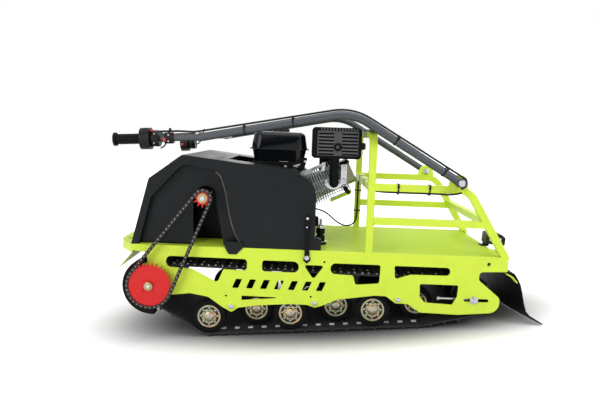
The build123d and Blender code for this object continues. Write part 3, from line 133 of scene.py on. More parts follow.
class Tree:
    """A material's node tree with a Principled shader."""

    def __init__(self, name: str) -> None:
        """Make an empty material of that name."""
        self.material = bpy.data.materials.new(name)
        self.material.use_nodes = True
        self.nodes = self.material.node_tree.nodes
        self.links = self.material.node_tree.links
        self.shader = self.nodes["Principled BSDF"]

    def node(self, kind: str, settings: dict | None = None, inputs: dict | None = None,
             output: int | str = 0) -> Wire:
        """Create any node.

        Args:
            kind: The node's type name.
            settings: Properties set before its sockets are filled; ramp stops under "stops".
            inputs: Socket index or name to a wire or a plain value.
            output: Which output to hand back.

        Returns:
            The chosen output as a wire.
        """
        made = self.nodes.new(kind)
        for key, value in (settings or {}).items():
            if key == "stops":
                self.fill_ramp(made, value)
            else:
                setattr(made, key, value)
        for key, value in (inputs or {}).items():
            self.feed(made.inputs[key], value)
        return Wire(self, made.outputs[output])

    def feed(self, socket: bpy.types.NodeSocket, value: Wire | float | tuple) -> None:
        """Link a wire to a socket, or set the socket's own value."""
        if isinstance(value, Wire):
            self.links.new(value.socket, socket)
        elif isinstance(value, tuple) and len(value) == 3 and socket.type == "RGBA":
            socket.default_value = (*value, 1.0)
        else:
            socket.default_value = value

    @staticmethod
    def fill_ramp(made: bpy.types.Node, stops: list) -> None:
        """Set a colour ramp's stops from rows of (position, colour)."""
        ramp = made.color_ramp
        while len(ramp.elements) < len(stops):
            ramp.elements.new(0.5)
        for element, (position, colour) in zip(ramp.elements, stops):
            element.position = position
            element.color = (*colour, 1.0)

    def place(self) -> Wire:
        """The place on the object, in metres."""
        return self.node("ShaderNodeTexCoord", output="Object")

    def noise(self, scale: float, detail: float = 3.0, rough: float = 0.5) -> Wire:
        """Fractal noise around 0.5."""
        inputs = {"Vector": self.place(), "Scale": scale, "Detail": detail, "Roughness": rough}
        return self.node("ShaderNodeTexNoise", None, inputs)

    def blend(self, share: Wire | float, low: Wire | tuple, high: Wire | tuple) -> Wire:
        """Mix two colours by a share."""
        return self.node("ShaderNodeMix", {"data_type": "RGBA"}, {0: share, 6: low, 7: high}, 2)

    def bump(self, height: Wire, strength: float, distance: float) -> None:
        """Feed a height in metres times distance into the shader's normal."""
        made = self.node("ShaderNodeBump", None, {"Height": height, "Strength": strength, "Distance": distance})
        self.feed(self.shader.inputs["Normal"], made)

    def set(self, **values: Wire | float | tuple) -> None:
        """Fill the shader's sockets, their names written with underscores."""
        for key, value in values.items():
            self.feed(self.shader.inputs[key.replace("_", " ")], value)


@dataclass(frozen=True)
class Finish:
    """A painted or moulded surface with fine texture, slow colour variation and dust."""

    name: str
    slot: str
    colour: Colour
    roughness: float = 0.4
    metallic: float = 0.0
    coat: float = 0.0
    spread: float = 0.08
    mottle: float = 18.0
    grain: float = 900.0
    grain_depth: float = 0.00004
    grain_strength: float = 0.25
    specular: float = 0.5
    dust: float = 0.0
    dust_colour: Colour = (0.32, 0.30, 0.27)
    coat_roughness: float = 0.08
    contrast: float = 2.2

    def material(self) -> bpy.types.Material:
        """Build the material once and hand it back each time."""
        existing = bpy.data.materials.get(self.name)
        return existing or self.build()

    def build(self) -> bpy.types.Material:
        """Make the node tree of this finish."""
        tree = Tree(self.name)
        slow = tree.noise(self.mottle, 4.0)
        fine = tree.noise(self.grain, 2.0)
        tree.set(Base_Color=self.colouring(tree, slow, fine), Metallic=self.metallic,
                 Roughness=(slow - 0.5) * (2 * self.spread) + self.roughness, Coat_Weight=self.coat,
                 Coat_Roughness=self.coat_roughness, Specular_IOR_Level=self.specular)
        tree.bump(fine, self.grain_strength, self.grain_depth)
        return tree.material

    def colouring(self, tree: Tree, slow: Wire, fine: Wire) -> Wire:
        """Base colour with slow variation and a little dust."""
        reach = self.contrast * self.spread
        light = tuple(min(1.0, part * (1 + reach)) for part in self.colour)
        dark = tuple(part * (1 - reach) for part in self.colour)
        base = tree.blend(slow, dark, light)
        if not self.dust:
            return base
        cover = (tree.noise(6.0, 6.0, 0.6) * 0.6 + fine * 0.4).step(0.45, 0.75) * self.dust
        return tree.blend(cover, base, self.dust_colour)


@dataclass(frozen=True)
class YellowZinc(Finish):
    """Yellow passivated zinc plate with its rainbow tints."""

    def colouring(self, tree: Tree, slow: Wire, fine: Wire) -> Wire:
        """Tints that wander between straw, rose, green and steel."""
        drift = tree.noise(32.0, 3.0, 0.55)
        stops = [(0.30, (0.50, 0.47, 0.33)), (0.42, (0.50, 0.39, 0.15)), (0.50, (0.46, 0.24, 0.20)),
                 (0.58, (0.18, 0.38, 0.20)), (0.68, (0.52, 0.46, 0.28))]
        tints = tree.node("ShaderNodeValToRGB", {"stops": stops}, {0: drift})
        return tree.blend(0.6 + (slow - 0.5) * 0.4, (0.46, 0.41, 0.27), tints)


# near-black for the painted shadow inside the silencer's louvre slots
LOUVRE_SHADOW_BLACK = Finish("louvre_painted_shadow", "black_paint", (0.0025, 0.0025, 0.0028), 0.7, spread=0.05, specular=0.05)
# pale, little-metallic steel so that the track's clips read as bright glints: real clips with a painted highlight
GLINT_CLIP_STEEL = Finish("clip_steel_painted_glint", "steel", (0.74, 0.78, 0.82), 0.42, metallic=0.2, spread=0.10)
WARM_CAST = Finish("golden_cast_cover", "cast_aluminium", (0.22, 0.21, 0.13), 0.36, metallic=0.85, spread=0.12,
                   mottle=40.0, grain=500.0)
CHAIN_PIN = Finish("worn_chain_pins", "steel", (0.30, 0.29, 0.27), 0.32, metallic=1.0, spread=0.10)
LIME = Finish("lime_powder_coat", "lime_paint", (0.67, 0.85, 0.070), 0.40, coat=0.04, spread=0.035,
              grain=420.0, grain_depth=0.00003, grain_strength=0.12, specular=0.16)
# a darker copy of the lime paint for the deck: painted shade, as the deck's top is lit less than the side panels
SHADED_DECK_LIME = Finish("lime_paint_deck_painted_shade", "lime_paint", (0.54, 0.72, 0.050), 0.46, spread=0.05, mottle=5.0,
                   grain=420.0, grain_depth=0.00003, grain_strength=0.12, specular=0.03)
HOOD = Finish("moulded_hood_plastic", "black_plastic", (0.0092, 0.0112, 0.0125), 0.36,
              grain=1500.0, grain_depth=0.00006, grain_strength=0.3, specular=0.13, dust=0.012)
# lighter grey-brown for a painted highlight where the hood's crease catches the light
CREASE_HIGHLIGHT = Finish("painted_crease_highlight", "black_plastic", (0.065, 0.056, 0.047), 0.5, spread=0.25, mottle=120.0)
GLOSS_BLACK = Finish("gloss_black_enamel", "black_paint", (0.004, 0.005, 0.007), 0.10, coat=0.22, spread=0.02,
                     grain=160.0, grain_depth=0.00002, grain_strength=0.08, specular=0.12)
GREY_ENAMEL = Finish("grey_louvre_enamel", "black_paint", (0.054, 0.058, 0.062), 0.36, coat=0.05, spread=0.06,
                     grain=500.0, grain_strength=0.15)
SATIN_BLACK = Finish("satin_black_paint", "black_paint", (0.005, 0.0055, 0.006), 0.42, spread=0.06,
                     grain=700.0, grain_strength=0.2, specular=0.07)
TUBE_PAINT = Finish("dark_tube_paint", "dark_tube_paint", (0.0055, 0.0085, 0.0115), 0.20, coat=0.11, spread=0.04,
                    grain=600.0, grain_strength=0.12, specular=0.10)
RED = Finish("red_enamel", "red_paint", (0.66, 0.010, 0.011), 0.38, coat=0.15, spread=0.05, grain=500.0,
             grain_strength=0.15, specular=0.25)
RED_PLASTIC = Finish("red_button_plastic", "red_paint", (0.62, 0.015, 0.020), 0.34, spread=0.04)
TRACK = Finish("track_rubber", "track_rubber", (0.0014, 0.0016, 0.0018), 0.50, spread=0.10, grain=800.0,
               grain_depth=0.00010, grain_strength=0.4, specular=0.05)
RUBBER = Finish("moulded_rubber", "rubber", (0.0052, 0.0054, 0.0060), 0.50, grain=1100.0,
                grain_depth=0.00008, grain_strength=0.35, specular=0.09, dust=0.008)
CABLE_JACKET = Finish("cable_jacket", "rubber", (0.006, 0.006, 0.007), 0.34, spread=0.05, grain=1400.0,
                      specular=0.25)
ZINC = YellowZinc("yellow_zinc_plate", "zinc", (0.70, 0.66, 0.50), 0.30, metallic=1.0, spread=0.10,
                  grain_strength=0.15)
STEEL = Finish("bright_zinc_steel", "steel", (0.46, 0.47, 0.49), 0.27, metallic=1.0,
               grain=1200.0, grain_strength=0.2)
CHAIN = Finish("oiled_chain_steel", "chain_steel", (0.034, 0.031, 0.029), 0.34, metallic=0.85, spread=0.10,
               grain_strength=0.3)
CHAIN_INNER = Finish("oiled_inner_links", "chain_steel", (0.022, 0.020, 0.019), 0.40, metallic=0.8, spread=0.10,
                     grain_strength=0.3)
CAST = Finish("cast_aluminium", "cast_aluminium", (0.36, 0.355, 0.34), 0.44, metallic=0.9,
              grain=500.0, grain_depth=0.00015, grain_strength=0.5)
BRASS = Finish("brass_hub", "steel", (0.36, 0.27, 0.13), 0.30, metallic=1.0, grain=800.0)
HARD_BLACK = Finish("hard_black_plastic", "black_plastic", (0.0055, 0.0055, 0.0062), 0.34, spread=0.05,
                    grain=1000.0, specular=0.18)
# near-black finish of the rings that paint the shadow in the gaps of the roller caps
ROLLER_GAP_SHADE = Finish("roller_cap_painted_shadow", "chain_steel", (0.020, 0.018, 0.016), 0.38, metallic=0.6,
                        grain=1100.0)
RED_LENS = Finish("red_lamp_lens", "red_paint", (0.42, 0.010, 0.012), 0.12, coat=0.6, spread=0.03, mottle=60.0,
                  grain=300.0)
CLEAR_LENS = Finish("pale_marker_lens", "steel", (0.62, 0.64, 0.66), 0.16, coat=0.5, spread=0.05, mottle=90.0,
                    grain=350.0)

NODE_FINISHES = {
    # the start of a CAD node's name, and its finish
    "side_panel": LIME, "deck": SHADED_DECK_LIME, "bumper": LIME, "front_deflector": LIME, "cage": LIME,
    "hinge_ear": LIME, "flap_holders": LIME, "tow_hitch": LIME, "drive_guard": SATIN_BLACK, "track": TRACK,
    "drive_axle": SATIN_BLACK, "axle_bearings": STEEL, "rear_idler": HARD_BLACK, "big_sprocket": RED,
    "small_sprocket": RED, "chain": CHAIN, "jackshaft_stand": SATIN_BLACK, "jackshaft": STEEL, "hood_strap": RUBBER,
    "hood": HOOD, "crankcase": CAST, "finned_cylinder": CAST, "valve_cover": WARM_CAST,
    "fuel_tank": GLOSS_BLACK, "fuel_cap": HARD_BLACK, "tank_brackets": SATIN_BLACK,
    "silencer_guard": SATIN_BLACK, "silencer": SATIN_BLACK, "exhaust_pipe": SATIN_BLACK, "air_cleaner": HARD_BLACK,
    "recoil_starter": GLOSS_BLACK, "tiller_frame": TUBE_PAINT, "rear_lamp": HARD_BLACK, "lamp_bracket": SATIN_BLACK,
    "mudflap": RUBBER, "roller_tyres": RUBBER, "roller_discs": ZINC, "bogie_frames": SATIN_BLACK,
    "tensioner": STEEL, "grip": RUBBER, "control_pod": HARD_BLACK, "cable": CABLE_JACKET,
    "exhaust_flange": STEEL, "rubber_mount": RUBBER,
}


@dataclass
class Stance:
    """The machine's own level frame, in millimetres, and its place in the row's frame."""

    tilt: float = 4.6
    pivot: Point = (HINGE[0], 0.0, HINGE[1])
    matrix: Matrix = field(default_factory=Matrix)

    def settle(self, joint: dict) -> None:
        """Find the frame's place from where the tiller's hinge is.

        Args:
            joint: The hinge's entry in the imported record.
        """
        turn = Matrix.Rotation(radians(self.tilt), 4, "Y") @ Matrix.Scale(MM, 4)
        shift = Vector(joint["pos_m"]) - turn @ Vector(self.pivot)
        self.matrix = Matrix.Translation(shift) @ turn

    def point(self, x: float, y: float, z: float) -> Vector:
        """A point of the machine in the row's frame, in metres."""
        return self.matrix @ Vector((x, y, z))


STANCE = Stance()


class Shape:
    """Faces gathered in the machine's own millimetres, then handed over as one piece."""

    def __init__(self, name: str) -> None:
        """Start an empty shape of that name."""
        self.name = name
        self.mesh = bmesh.new()

    def vertex(self, place: Point | Vector) -> bmesh.types.BMVert:
        """Add one point."""
        return self.mesh.verts.new(Vector(place))

    def skin(self, first: list, second: list) -> None:
        """Join two rings, either of which may be a single point."""
        count = max(len(first), len(second))
        if count == 1:
            return
        for index in range(count):
            after = (index + 1) % count
            corners = [first[index % len(first)], first[after % len(first)], second[after % len(second)],
                       second[index % len(second)]]
            self.mesh.faces.new(list(dict.fromkeys(corners)))

    def lathe(self, centre: Point | Vector, axis: Point | Vector, profile: list, sides: int = 28, turn: float = 0.0,
              hollow: bool = False, lobes: int = 0, lobe_depth: float = 0.0) -> None:
        """Turn a profile round an axis.

        Args:
            centre: Where the profile's distance 0 lies.
            axis: Direction of the axis.
            profile: Rows of (distance along the axis, radius).
            sides: Corners of each ring.
            turn: Angle of the first corner in radians.
            hollow: Join the last ring to the first instead of closing both ends.
            lobes: Number of lobes round the rings.
            lobe_depth: Share of the radius that a lobe adds or takes.
        """
        along = Vector(axis).normalized()
        across = along.cross(Vector((0, 0, 1)) if abs(along.z) < 0.9 else Vector((1, 0, 0))).normalized()
        upward = across.cross(along)
        rings = []
        for distance, radius in profile:
            middle = Vector(centre) + along * distance
            if radius <= 0:
                rings.append([self.vertex(middle)])
                continue
            ring = []
            for index in range(sides):
                angle = tau * index / sides + turn
                reach = radius * (1 + lobe_depth * cos(lobes * angle))
                ring.append(self.vertex(middle + across * cos(angle) * reach + upward * sin(angle) * reach))
            rings.append(ring)
        for before, after in zip(rings, rings[1:]):
            self.skin(before, after)
        if hollow:
            self.skin(rings[-1], rings[0])
        else:
            for ring in (rings[0], rings[-1]):
                if len(ring) > 2:
                    self.mesh.faces.new(ring)

    def slab(self, outline: list, depth: Point | Vector) -> None:
        """Push a flat outline along a vector."""
        low = [self.vertex(place) for place in outline]
        high = [self.vertex(Vector(place) + Vector(depth)) for place in outline]
        self.skin(low, high)
        self.mesh.faces.new(low)
        self.mesh.faces.new(high)

    def block(self, low: Point, high: Point) -> None:
        """Add a box between two corners, its edges eased when the piece is finished."""
        (x0, y0, z0), (x1, y1, z1) = low, high
        self.slab([(x0, y0, z0), (x1, y0, z0), (x1, y0, z1), (x0, y0, z1)], (0, y1 - y0, 0))

    def collar(self, outer: list, inner: list, depth: Point | Vector) -> None:
        """Push the strip between two loops along a vector."""
        rows = [[self.vertex(Vector(place) + Vector(depth) * share) for place in loop]
                for loop, share in ((outer, 0), (outer, 1), (inner, 1), (inner, 0))]
        for row, after in zip(rows, rows[1:] + rows[:1]):
            self.skin(row, after)

    def tube(self, points: list, radius: float, sides: int = 10, wobble: float = 0.0, seed: int = 7) -> None:
        """Sweep a round section along points.

        Args:
            points: The tube's centre line.
            radius: Its radius.
            sides: Corners of its section.
            wobble: Share by which the radius varies, for a weld bead.
            seed: Seed of that variation.
        """
        draw = random.Random(seed)
        places = [Vector(point) for point in points]
        rings = []
        side = None
        for index, place in enumerate(places):
            ahead = places[min(index + 1, len(places) - 1)] - places[max(index - 1, 0)]
            ahead.normalize()
            side = ahead.orthogonal() if side is None else side - ahead * side.dot(ahead)
            side.normalize()
            other = ahead.cross(side)
            reach = radius * (1 + wobble * (draw.random() - 0.5) * 2)
            rings.append([self.vertex(place + side * cos(tau * step / sides) * reach
                                      + other * sin(tau * step / sides) * reach) for step in range(sides)])
        for before, after in zip(rings, rings[1:]):
            self.skin(before, after)
        self.mesh.faces.new(rings[0])
        self.mesh.faces.new(rings[-1])

    def bolt(self, centre: Point, facing: Point, radius: float, height: float, washer: float = 1.55,
             stud: float = 0.0) -> None:
        """Add a hexagon head on its washer, with the stud's end above it when stud is its height."""
        base = 0.22 * radius
        if washer:
            rim = radius * washer
            edge = [(0, 0), (0, rim), (base * 0.8, rim), (base, rim * 0.93), (base, 0)]
            self.lathe(centre, facing, edge, 24)
        top = base + height
        head = [(base * 0.5, 0), (base * 0.5, radius), (top - 0.16 * radius, radius), (top, radius * 0.84), (top, 0)]
        self.lathe(centre, facing, head, 6, turn=0.3)
        if stud:
            end, thread = top + stud, radius * 0.55
            tip = [(base, 0), (base, thread), (end - 0.8, thread), (end, radius * 0.42), (end, 0)]
            self.lathe(centre, facing, tip, 14)

    def hand_over(self, finish: Finish, body: str = MACHINE, ease: float = 0.0, segments: int = 1,
                  crease: float = 38.0, replaces: tuple[str, ...] = ()) -> None:
        """Turn the faces into a piece that rides on a body.

        Args:
            finish: Its finish.
            body: The body it rides on.
            ease: How far sharp edges are rounded off, in millimetres.
            segments: Faces across each rounded edge.
            crease: Angle in degrees above which an edge stays sharp in shading.
            replaces: CAD nodes that it stands for.
        """
        mesh = self.mesh
        loose = [vertex for vertex in mesh.verts if not vertex.link_faces]
        bmesh.ops.delete(mesh, geom=loose, context="VERTS")
        bmesh.ops.recalc_face_normals(mesh, faces=mesh.faces)
        if ease:
            sharp = [edge for edge in mesh.edges if edge.calc_face_angle(0.0) > radians(50)]
            bmesh.ops.bevel(mesh, geom=sharp, offset=ease, segments=segments, profile=0.5, affect="EDGES",
                            clamp_overlap=True)
        for edge in mesh.edges:
            edge.smooth = edge.calc_face_angle(0.0) < radians(crease)
        for face in mesh.faces:
            face.smooth = True
        bmesh.ops.transform(mesh, matrix=STANCE.matrix, verts=mesh.verts)
        data = bpy.data.meshes.new(self.name)
        mesh.to_mesh(data)
        mesh.free()
        data.materials.append(finish.material())
        piece = bpy.data.objects.new(self.name, data)
        bpy.context.scene.collection.objects.link(piece)
        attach(piece, body)
        if replaces:
            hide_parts(*replaces)
        LOG.info("%s: %d faces on %s", self.name, len(data.polygons), body)


def circle_places(centre: Point | Vector, radius: float, count: int, first: float = 0.0) -> list[Point]:
    """Places spread evenly round a centre, in the machine's upright plane.

    Args:
        centre: Middle of the circle.
        radius: Its radius.
        count: How many places.
        first: Angle of the first one, in degrees.

    Returns:
        The places in order.
    """
    turns = [radians(first + 360 * index / count) for index in range(count)]
    return [(centre[0] + radius * cos(turn), centre[1], centre[2] + radius * sin(turn)) for turn in turns]


@dataclass
class ChainDrive:
    """Roller chain, link by link, the hubs of its two sprockets and the guard's near lip."""

    pitch: float = 15.875
    links: int = 68
    teeth: tuple[int, int] = (31, 11)
    drive: Pair = DRIVE
    rise: float = 59.6
    y: float = -300.0
    plate_r: float = 6.6
    waist: float = 4.9
    # side plates: distance of the inner face from the middle plane, thickness
    outer_plate: Pair = (6.25, 1.15)
    inner_plate: Pair = (4.9, 1.25)
    roller_half: float = 4.8
    roller_r: float = 5.0
    pin_half: float = 8.2
    pin_r: float = 2.1
    # guard's near lip: where it starts and how far it turns in degrees, its reach and how much that grows
    lip_start: float = 112.0
    lip_turn: float = 166.0
    lip_reach: float = 99.0
    lip_growth: float = 9.0
    lip_inner: Pair = (80.0, 79.0)
    lip_y: float = -291.0
    lip_depth: float = 38.0

    def pitch_radius(self, teeth: int) -> float:
        """Radius of the pins' circle on a sprocket."""
        return self.pitch / (2 * sin(pi / teeth))

    def jack(self) -> Pair:
        """Centre of the small sprocket."""
        step = self.pitch_radius(self.teeth[0]) - self.pitch_radius(self.teeth[1])
        distance = self.links * self.pitch / 2
        for _ in range(40):
            lean = asin(step / distance)
            wrapped = self.teeth[0] * (0.5 + lean / pi) + self.teeth[1] * (0.5 - lean / pi)
            distance = (self.links - wrapped) * self.pitch / 2 / cos(lean)
        angle = radians(self.rise)
        return self.drive[0] + distance * cos(angle), self.drive[1] + distance * sin(angle)

    def pins(self) -> list[Vector]:
        """Pin centres, evenly spaced along the runs and round the sprockets."""
        wheels = ((Vector(self.drive), self.teeth[0]), (Vector(self.jack()), self.teeth[1]))
        runs = []
        for (here, teeth), (there, other) in (wheels, wheels[::-1]):
            span = there - here
            along = span.normalized()
            lean = asin((self.pitch_radius(teeth) - self.pitch_radius(other)) / span.length)
            normal = Vector((along.y, -along.x)) * cos(lean) + along * sin(lean)
            start, end = here + normal * self.pitch_radius(teeth), there + normal * self.pitch_radius(other)
            runs.append((start, (end - start) / self.pitch, normal, there, other, 0.5 - lean / pi))
        found = []
        for index in range(self.links):
            at = index + 0.5
            for start, steps, normal, centre, teeth, wrap in runs:
                if at <= steps.length:
                    found.append(start + steps.normalized() * self.pitch * at)
                    break
                at -= steps.length
                if at <= wrap * teeth:
                    turn = Matrix.Rotation(tau * at / teeth, 2)
                    found.append(centre + (turn @ normal) * self.pitch_radius(teeth))
                    break
                at -= wrap * teeth
        return found

    def plate(self, start: Vector, end: Vector, y: float) -> list[Point]:
        """Waisted outline of one side plate."""
        along = (end - start).normalized()
        across = Vector((-along.y, along.x))
        middle = (start + end) / 2
        outline = []
        for centre, first in ((end, -75), (start, 105)):
            for step in range(7):
                angle = radians(first + 25 * step)
                place = centre + (along * cos(angle) + across * sin(angle)) * self.plate_r
                outline.append((place.x, y, place.y))
            side = 1 if first < 0 else -1
            place = middle + across * self.waist * side
            outline.append((place.x, y, place.y))
        return outline

    def build(self) -> None:
        """Make the links, the pins, the rollers, the lip and the hubs."""
        pins = self.pins()
        outer, inner = Shape("chain_outer_plates"), Shape("chain_inner_plates")
        rollers, rivets = Shape("chain_rollers"), Shape("chain_rivets")
        for index, (start, end) in enumerate(zip(pins, pins[1:] + pins[:1])):
            shape, (near, thick) = (outer, self.outer_plate) if index % 2 else (inner, self.inner_plate)
            shape.slab(self.plate(start, end, self.y - near), (0, -thick, 0))
            shape.slab(self.plate(start, end, self.y + near), (0, thick, 0))
            centre = (start.x, self.y, start.y)
            rollers.lathe(centre, LEFT, [(-self.roller_half, self.roller_r), (self.roller_half, self.roller_r)], 14)
            end_r, full = self.pin_r - 0.6, self.pin_half - 0.5
            rivets.lathe(centre, LEFT, [(-self.pin_half, 0), (-self.pin_half, end_r), (-full, self.pin_r),
                                        (full, self.pin_r), (self.pin_half, end_r), (self.pin_half, 0)], 12)
        outer.hand_over(CHAIN, replaces=("chain",))
        inner.hand_over(CHAIN_INNER)
        rollers.hand_over(CHAIN_INNER)
        rivets.hand_over(CHAIN_PIN)
        self.guard_lip()
        self.hubs()

    def guard_lip(self) -> None:
        """Near lip of the black guard round the big sprocket, broader towards its foot."""
        x, z = self.drive[0] + 2, self.drive[1]
        shape = Shape("drive_guard_lip")
        outer, inner = [], []
        steps = 24
        for step in range(steps + 1):
            share = step / steps
            angle = radians(self.lip_start + self.lip_turn * share)
            reach = self.lip_reach + self.lip_growth * share * share
            outer.append((x + reach * cos(angle), self.lip_y, z + reach * sin(angle)))
            inner.append((x + self.lip_inner[0] * cos(angle), self.lip_y, z + self.lip_inner[1] * sin(angle)))
        shape.slab(outer + inner[::-1], (0, self.lip_depth, 0))
        shape.hand_over(SATIN_BLACK, ease=1.0)

    def hubs(self) -> None:
        """Brass washers, shaft nuts and the red hub bolts."""
        x, z = self.drive
        jack_x, jack_z = self.jack()
        brass = Shape("sprocket_brass_washers")
        big = [(-6, 15.2), (0.9, 15.2), (1.5, 14.2), (1.5, 6), (-6, 6)]
        small = [(-3, 17.4), (1.2, 17.4), (2.0, 16.4), (2.0, 7), (-3, 7)]
        brass.lathe((x, -311.8, z), LEFT, big, 36, hollow=True)
        brass.lathe((jack_x, -307.6, jack_z), LEFT, small, 36, hollow=True)
        brass.hand_over(BRASS)
        nuts = Shape("sprocket_shaft_nuts")
        nuts.bolt((x, -313.0, z), LEFT, 8.4, 1.9, 0)
        nuts.lathe((jack_x, -309.0, jack_z), LEFT,
                   [(0, 0), (0, 8.6), (4.6, 8.6), (5.4, 7.8), (5.4, 3.4), (3.0, 3.0), (3.0, 0)], 28)
        nuts.hand_over(STEEL)
        red = Shape("sprocket_hub_bolts")
        for place in circle_places((x, -303.8, z), 29, 4, 38):
            red.bolt(place, LEFT, 4.6, 3.2, 1.5)
        red.hand_over(RED)


@dataclass
class RunningGear:
    """Fasteners and small parts of the rollers, the bogies, the idler and the track."""

    pivots: tuple[float, ...] = (-252.0, 46.0, 344.0)
    rise: float = 46.0
    half_span: float = 84.0
    idler: Pair = (614.0, -62.0)
    outer_y: float = 231.0
    inner_y: float = 165.0
    roller_half: float = 15.0
    roller_r: float = 62.0
    panel_y: float = 275.0
    # rows of guide clips: (x of the first, spacing), and where they lie across the track
    lower_clips: Pair = (-236.0, 50.3384)
    lower_rows: tuple[float, ...] = (-203.0, 203.0)
    # the run under the deck: its start as (x, z), the step from clip to clip, and the rows
    upper_start: Pair = (-493.0, 22.3)
    upper_step: Pair = (50.60, -0.732)
    upper_count: int = 21
    upper_rows: tuple[float, ...] = (-238.0, -196.0, 188.0, 230.0)
    bearing_r: float = 28.0

    @staticmethod
    def axle_line(x: float) -> float:
        """Height of the rollers' axles at a place along the machine."""
        return -142.0 + x * tan(radians(STANCE.tilt))

    def build(self) -> None:
        """Make the caps, the pivots, the track's clips and the bearings' bolts."""
        self.caps()
        self.pivot_bolts()
        self.clips()
        self.bearing_bolts()

    def caps(self) -> None:
        """Domes, rims, bolts, nuts and tyre ridges of every roller, with dark rings of painted shadow in its gaps.
        """
        looks = {"cap_bolts": (STEEL, 38), "cap_gap_shadows": (ROLLER_GAP_SHADE, 38), "axle_nuts": (STEEL, 38),
                 "tyre_ridges": (RUBBER, 38), "cap_domes": (ZINC, 50), "cap_rims": (ZINC, 38)}
        shapes = {name: Shape(f"roller_{name}") for name in looks}
        for sign, facing in SIDES:
            for end, y in ((-1, self.outer_y), (1, self.inner_y)):
                for pivot in self.pivots:
                    x = pivot + end * self.half_span
                    self.cap(shapes, (x, sign * (y + self.roller_half), self.axle_line(x)), sign, facing)
        for name, (finish, crease) in looks.items():
            shapes[name].hand_over(finish, crease=crease)

    @staticmethod
    def cap(shapes: dict[str, Shape], centre: Point, sign: int, facing: Point) -> None:
        """Add one roller's cap.

        Args:
            shapes: Where each kind of part goes.
            centre: Middle of the tyre's outer face.
            sign: -1 on the left side, 1 on the right.
            facing: Which way the cap looks.
        """
        x, y, z = centre
        face, web = (x, y - sign, z), (x, y - sign * 5, z)
        dome = [(0, 0), (0, 19.6), (1.6, 19.0), (4.4, 15.4), (5.4, 9), (5.4, 0)]
        rim = [(-1, 35.4), (0.8, 35.6), (1.4, 36.4), (1.4, 37.6), (0.6, 38.4), (-1, 38.6)]
        ditch = [(-0.5, 20), (0.5, 20), (0.5, 35.4), (-0.5, 35.4)]
        groove = [(-0.4, 13.2), (0.25, 13.2), (0.25, 14.8), (-0.4, 14.8)]
        # dark rings of painted shadow: one on the web between the dome and the rim, one in the dome's groove
        shapes["cap_gap_shadows"].lathe(web, facing, ditch, 48, hollow=True)
        shapes["cap_gap_shadows"].lathe(face, facing, groove, 36, hollow=True)
        shapes["cap_domes"].lathe(face, facing, dome, 40, lobes=8, lobe_depth=0.05)
        shapes["cap_rims"].lathe(face, facing, rim, 48, hollow=True)
        for place in circle_places(web, 30, 8):
            shapes["cap_bolts"].bolt(place, facing, 3.1, 3.0, 1.3)
        shapes["axle_nuts"].bolt((x, y + sign * 4, z), facing, 6.2, 3.6, 1.3, stud=2.0)
        for radius in (47.0, 56.0):
            ridge = [(-1, radius - 1.2), (0.5, radius - 0.8), (0.5, radius + 0.8), (-1, radius + 1.2)]
            shapes["tyre_ridges"].lathe(centre, facing, ridge, 48, hollow=True)

    def pivot_bolts(self) -> None:
        """Cup washers and bolts of the bogie pivots and the idler axle, on both panels."""
        shape, cups = Shape("panel_pivot_bolts"), Shape("panel_pivot_cups")
        for sign, facing in SIDES:
            for x in self.pivots:
                z = self.axle_line(x) + self.rise
                cups.lathe((x, sign * self.panel_y, z), facing,
                           [(-0.5, 14.4), (2.4, 13.4), (7.2, 12.2), (7.5, 11.4), (7.5, 0), (-0.5, 0)], 32)
                shape.bolt((x, sign * (self.panel_y + 7.2), z), facing, 7.4, 4.6, 1.22, stud=2.0)
            x, z = self.idler
            flange = [(-0.5, 14.6), (1.6, 14.6), (2.4, 11.5), (8.3, 11.5), (8.8, 10.8), (8.8, 0), (-0.5, 0)]
            shape.lathe((x, sign * self.panel_y, z), facing, flange, 32)
            shape.bolt((x, sign * (self.panel_y + 8.4), z), facing, 8.6, 3.4, 0, stud=1.6)
        shape.hand_over(STEEL)
        cups.hand_over(LIME)

    def clips(self) -> None:
        """Steel guide clips of the track beside the roller paths below, and small clips on the run under the deck,
        all pale as painted glints.
        """
        shape = Shape("track_clips_painted_glints")
        slope = tan(radians(STANCE.tilt))
        start, spacing = self.lower_clips
        for row in self.lower_rows:
            for index in range(-1, 14):
                x = start + spacing * index
                z = self.axle_line(x) - self.roller_r + 0.4
                corners = ((-9, -1), (9, -1), (9, 3.4), (-9, 3.4))
                shape.slab([(x + along, row - 11, z + along * slope + up) for along, up in corners], (0, 12, 0))
        # small bright blocks on the upper run and at its near edge: painted glints of that run, seen through the
        # panel's windows
        for index in range(self.upper_count):
            x, z = (first + step * (index + 0.5) for first, step in zip(self.upper_start, self.upper_step))
            for row in self.upper_rows:
                shape.block((x - 3.2, row, z - 1), (x + 3.2, row + 8, z + 2.6))
            shape.block((x - 24.6, -250.3, z + 1.0), (x - 21.4, -249.0, z + 6.0))
        shape.hand_over(GLINT_CLIP_STEEL, ease=0.7)

    def bearing_bolts(self) -> None:
        """Four bolts on each flanged bearing of the drive shaft, and the shaft's cap on the far side."""
        shape = Shape("bearing_flange_bolts")
        x, z = DRIVE
        for sign, facing in SIDES:
            for place in circle_places((x, sign * 286, z), self.bearing_r, 4, 45):
                shape.bolt(place, facing, 5.0, 3.6, 1.4)
        cap = [(0, 0), (0, 16), (2.2, 16), (3, 15), (3, 6), (5, 5.4), (5, 0)]
        shape.lathe((x, 285.8, z), RIGHT, cap, 32)
        shape.hand_over(STEEL)


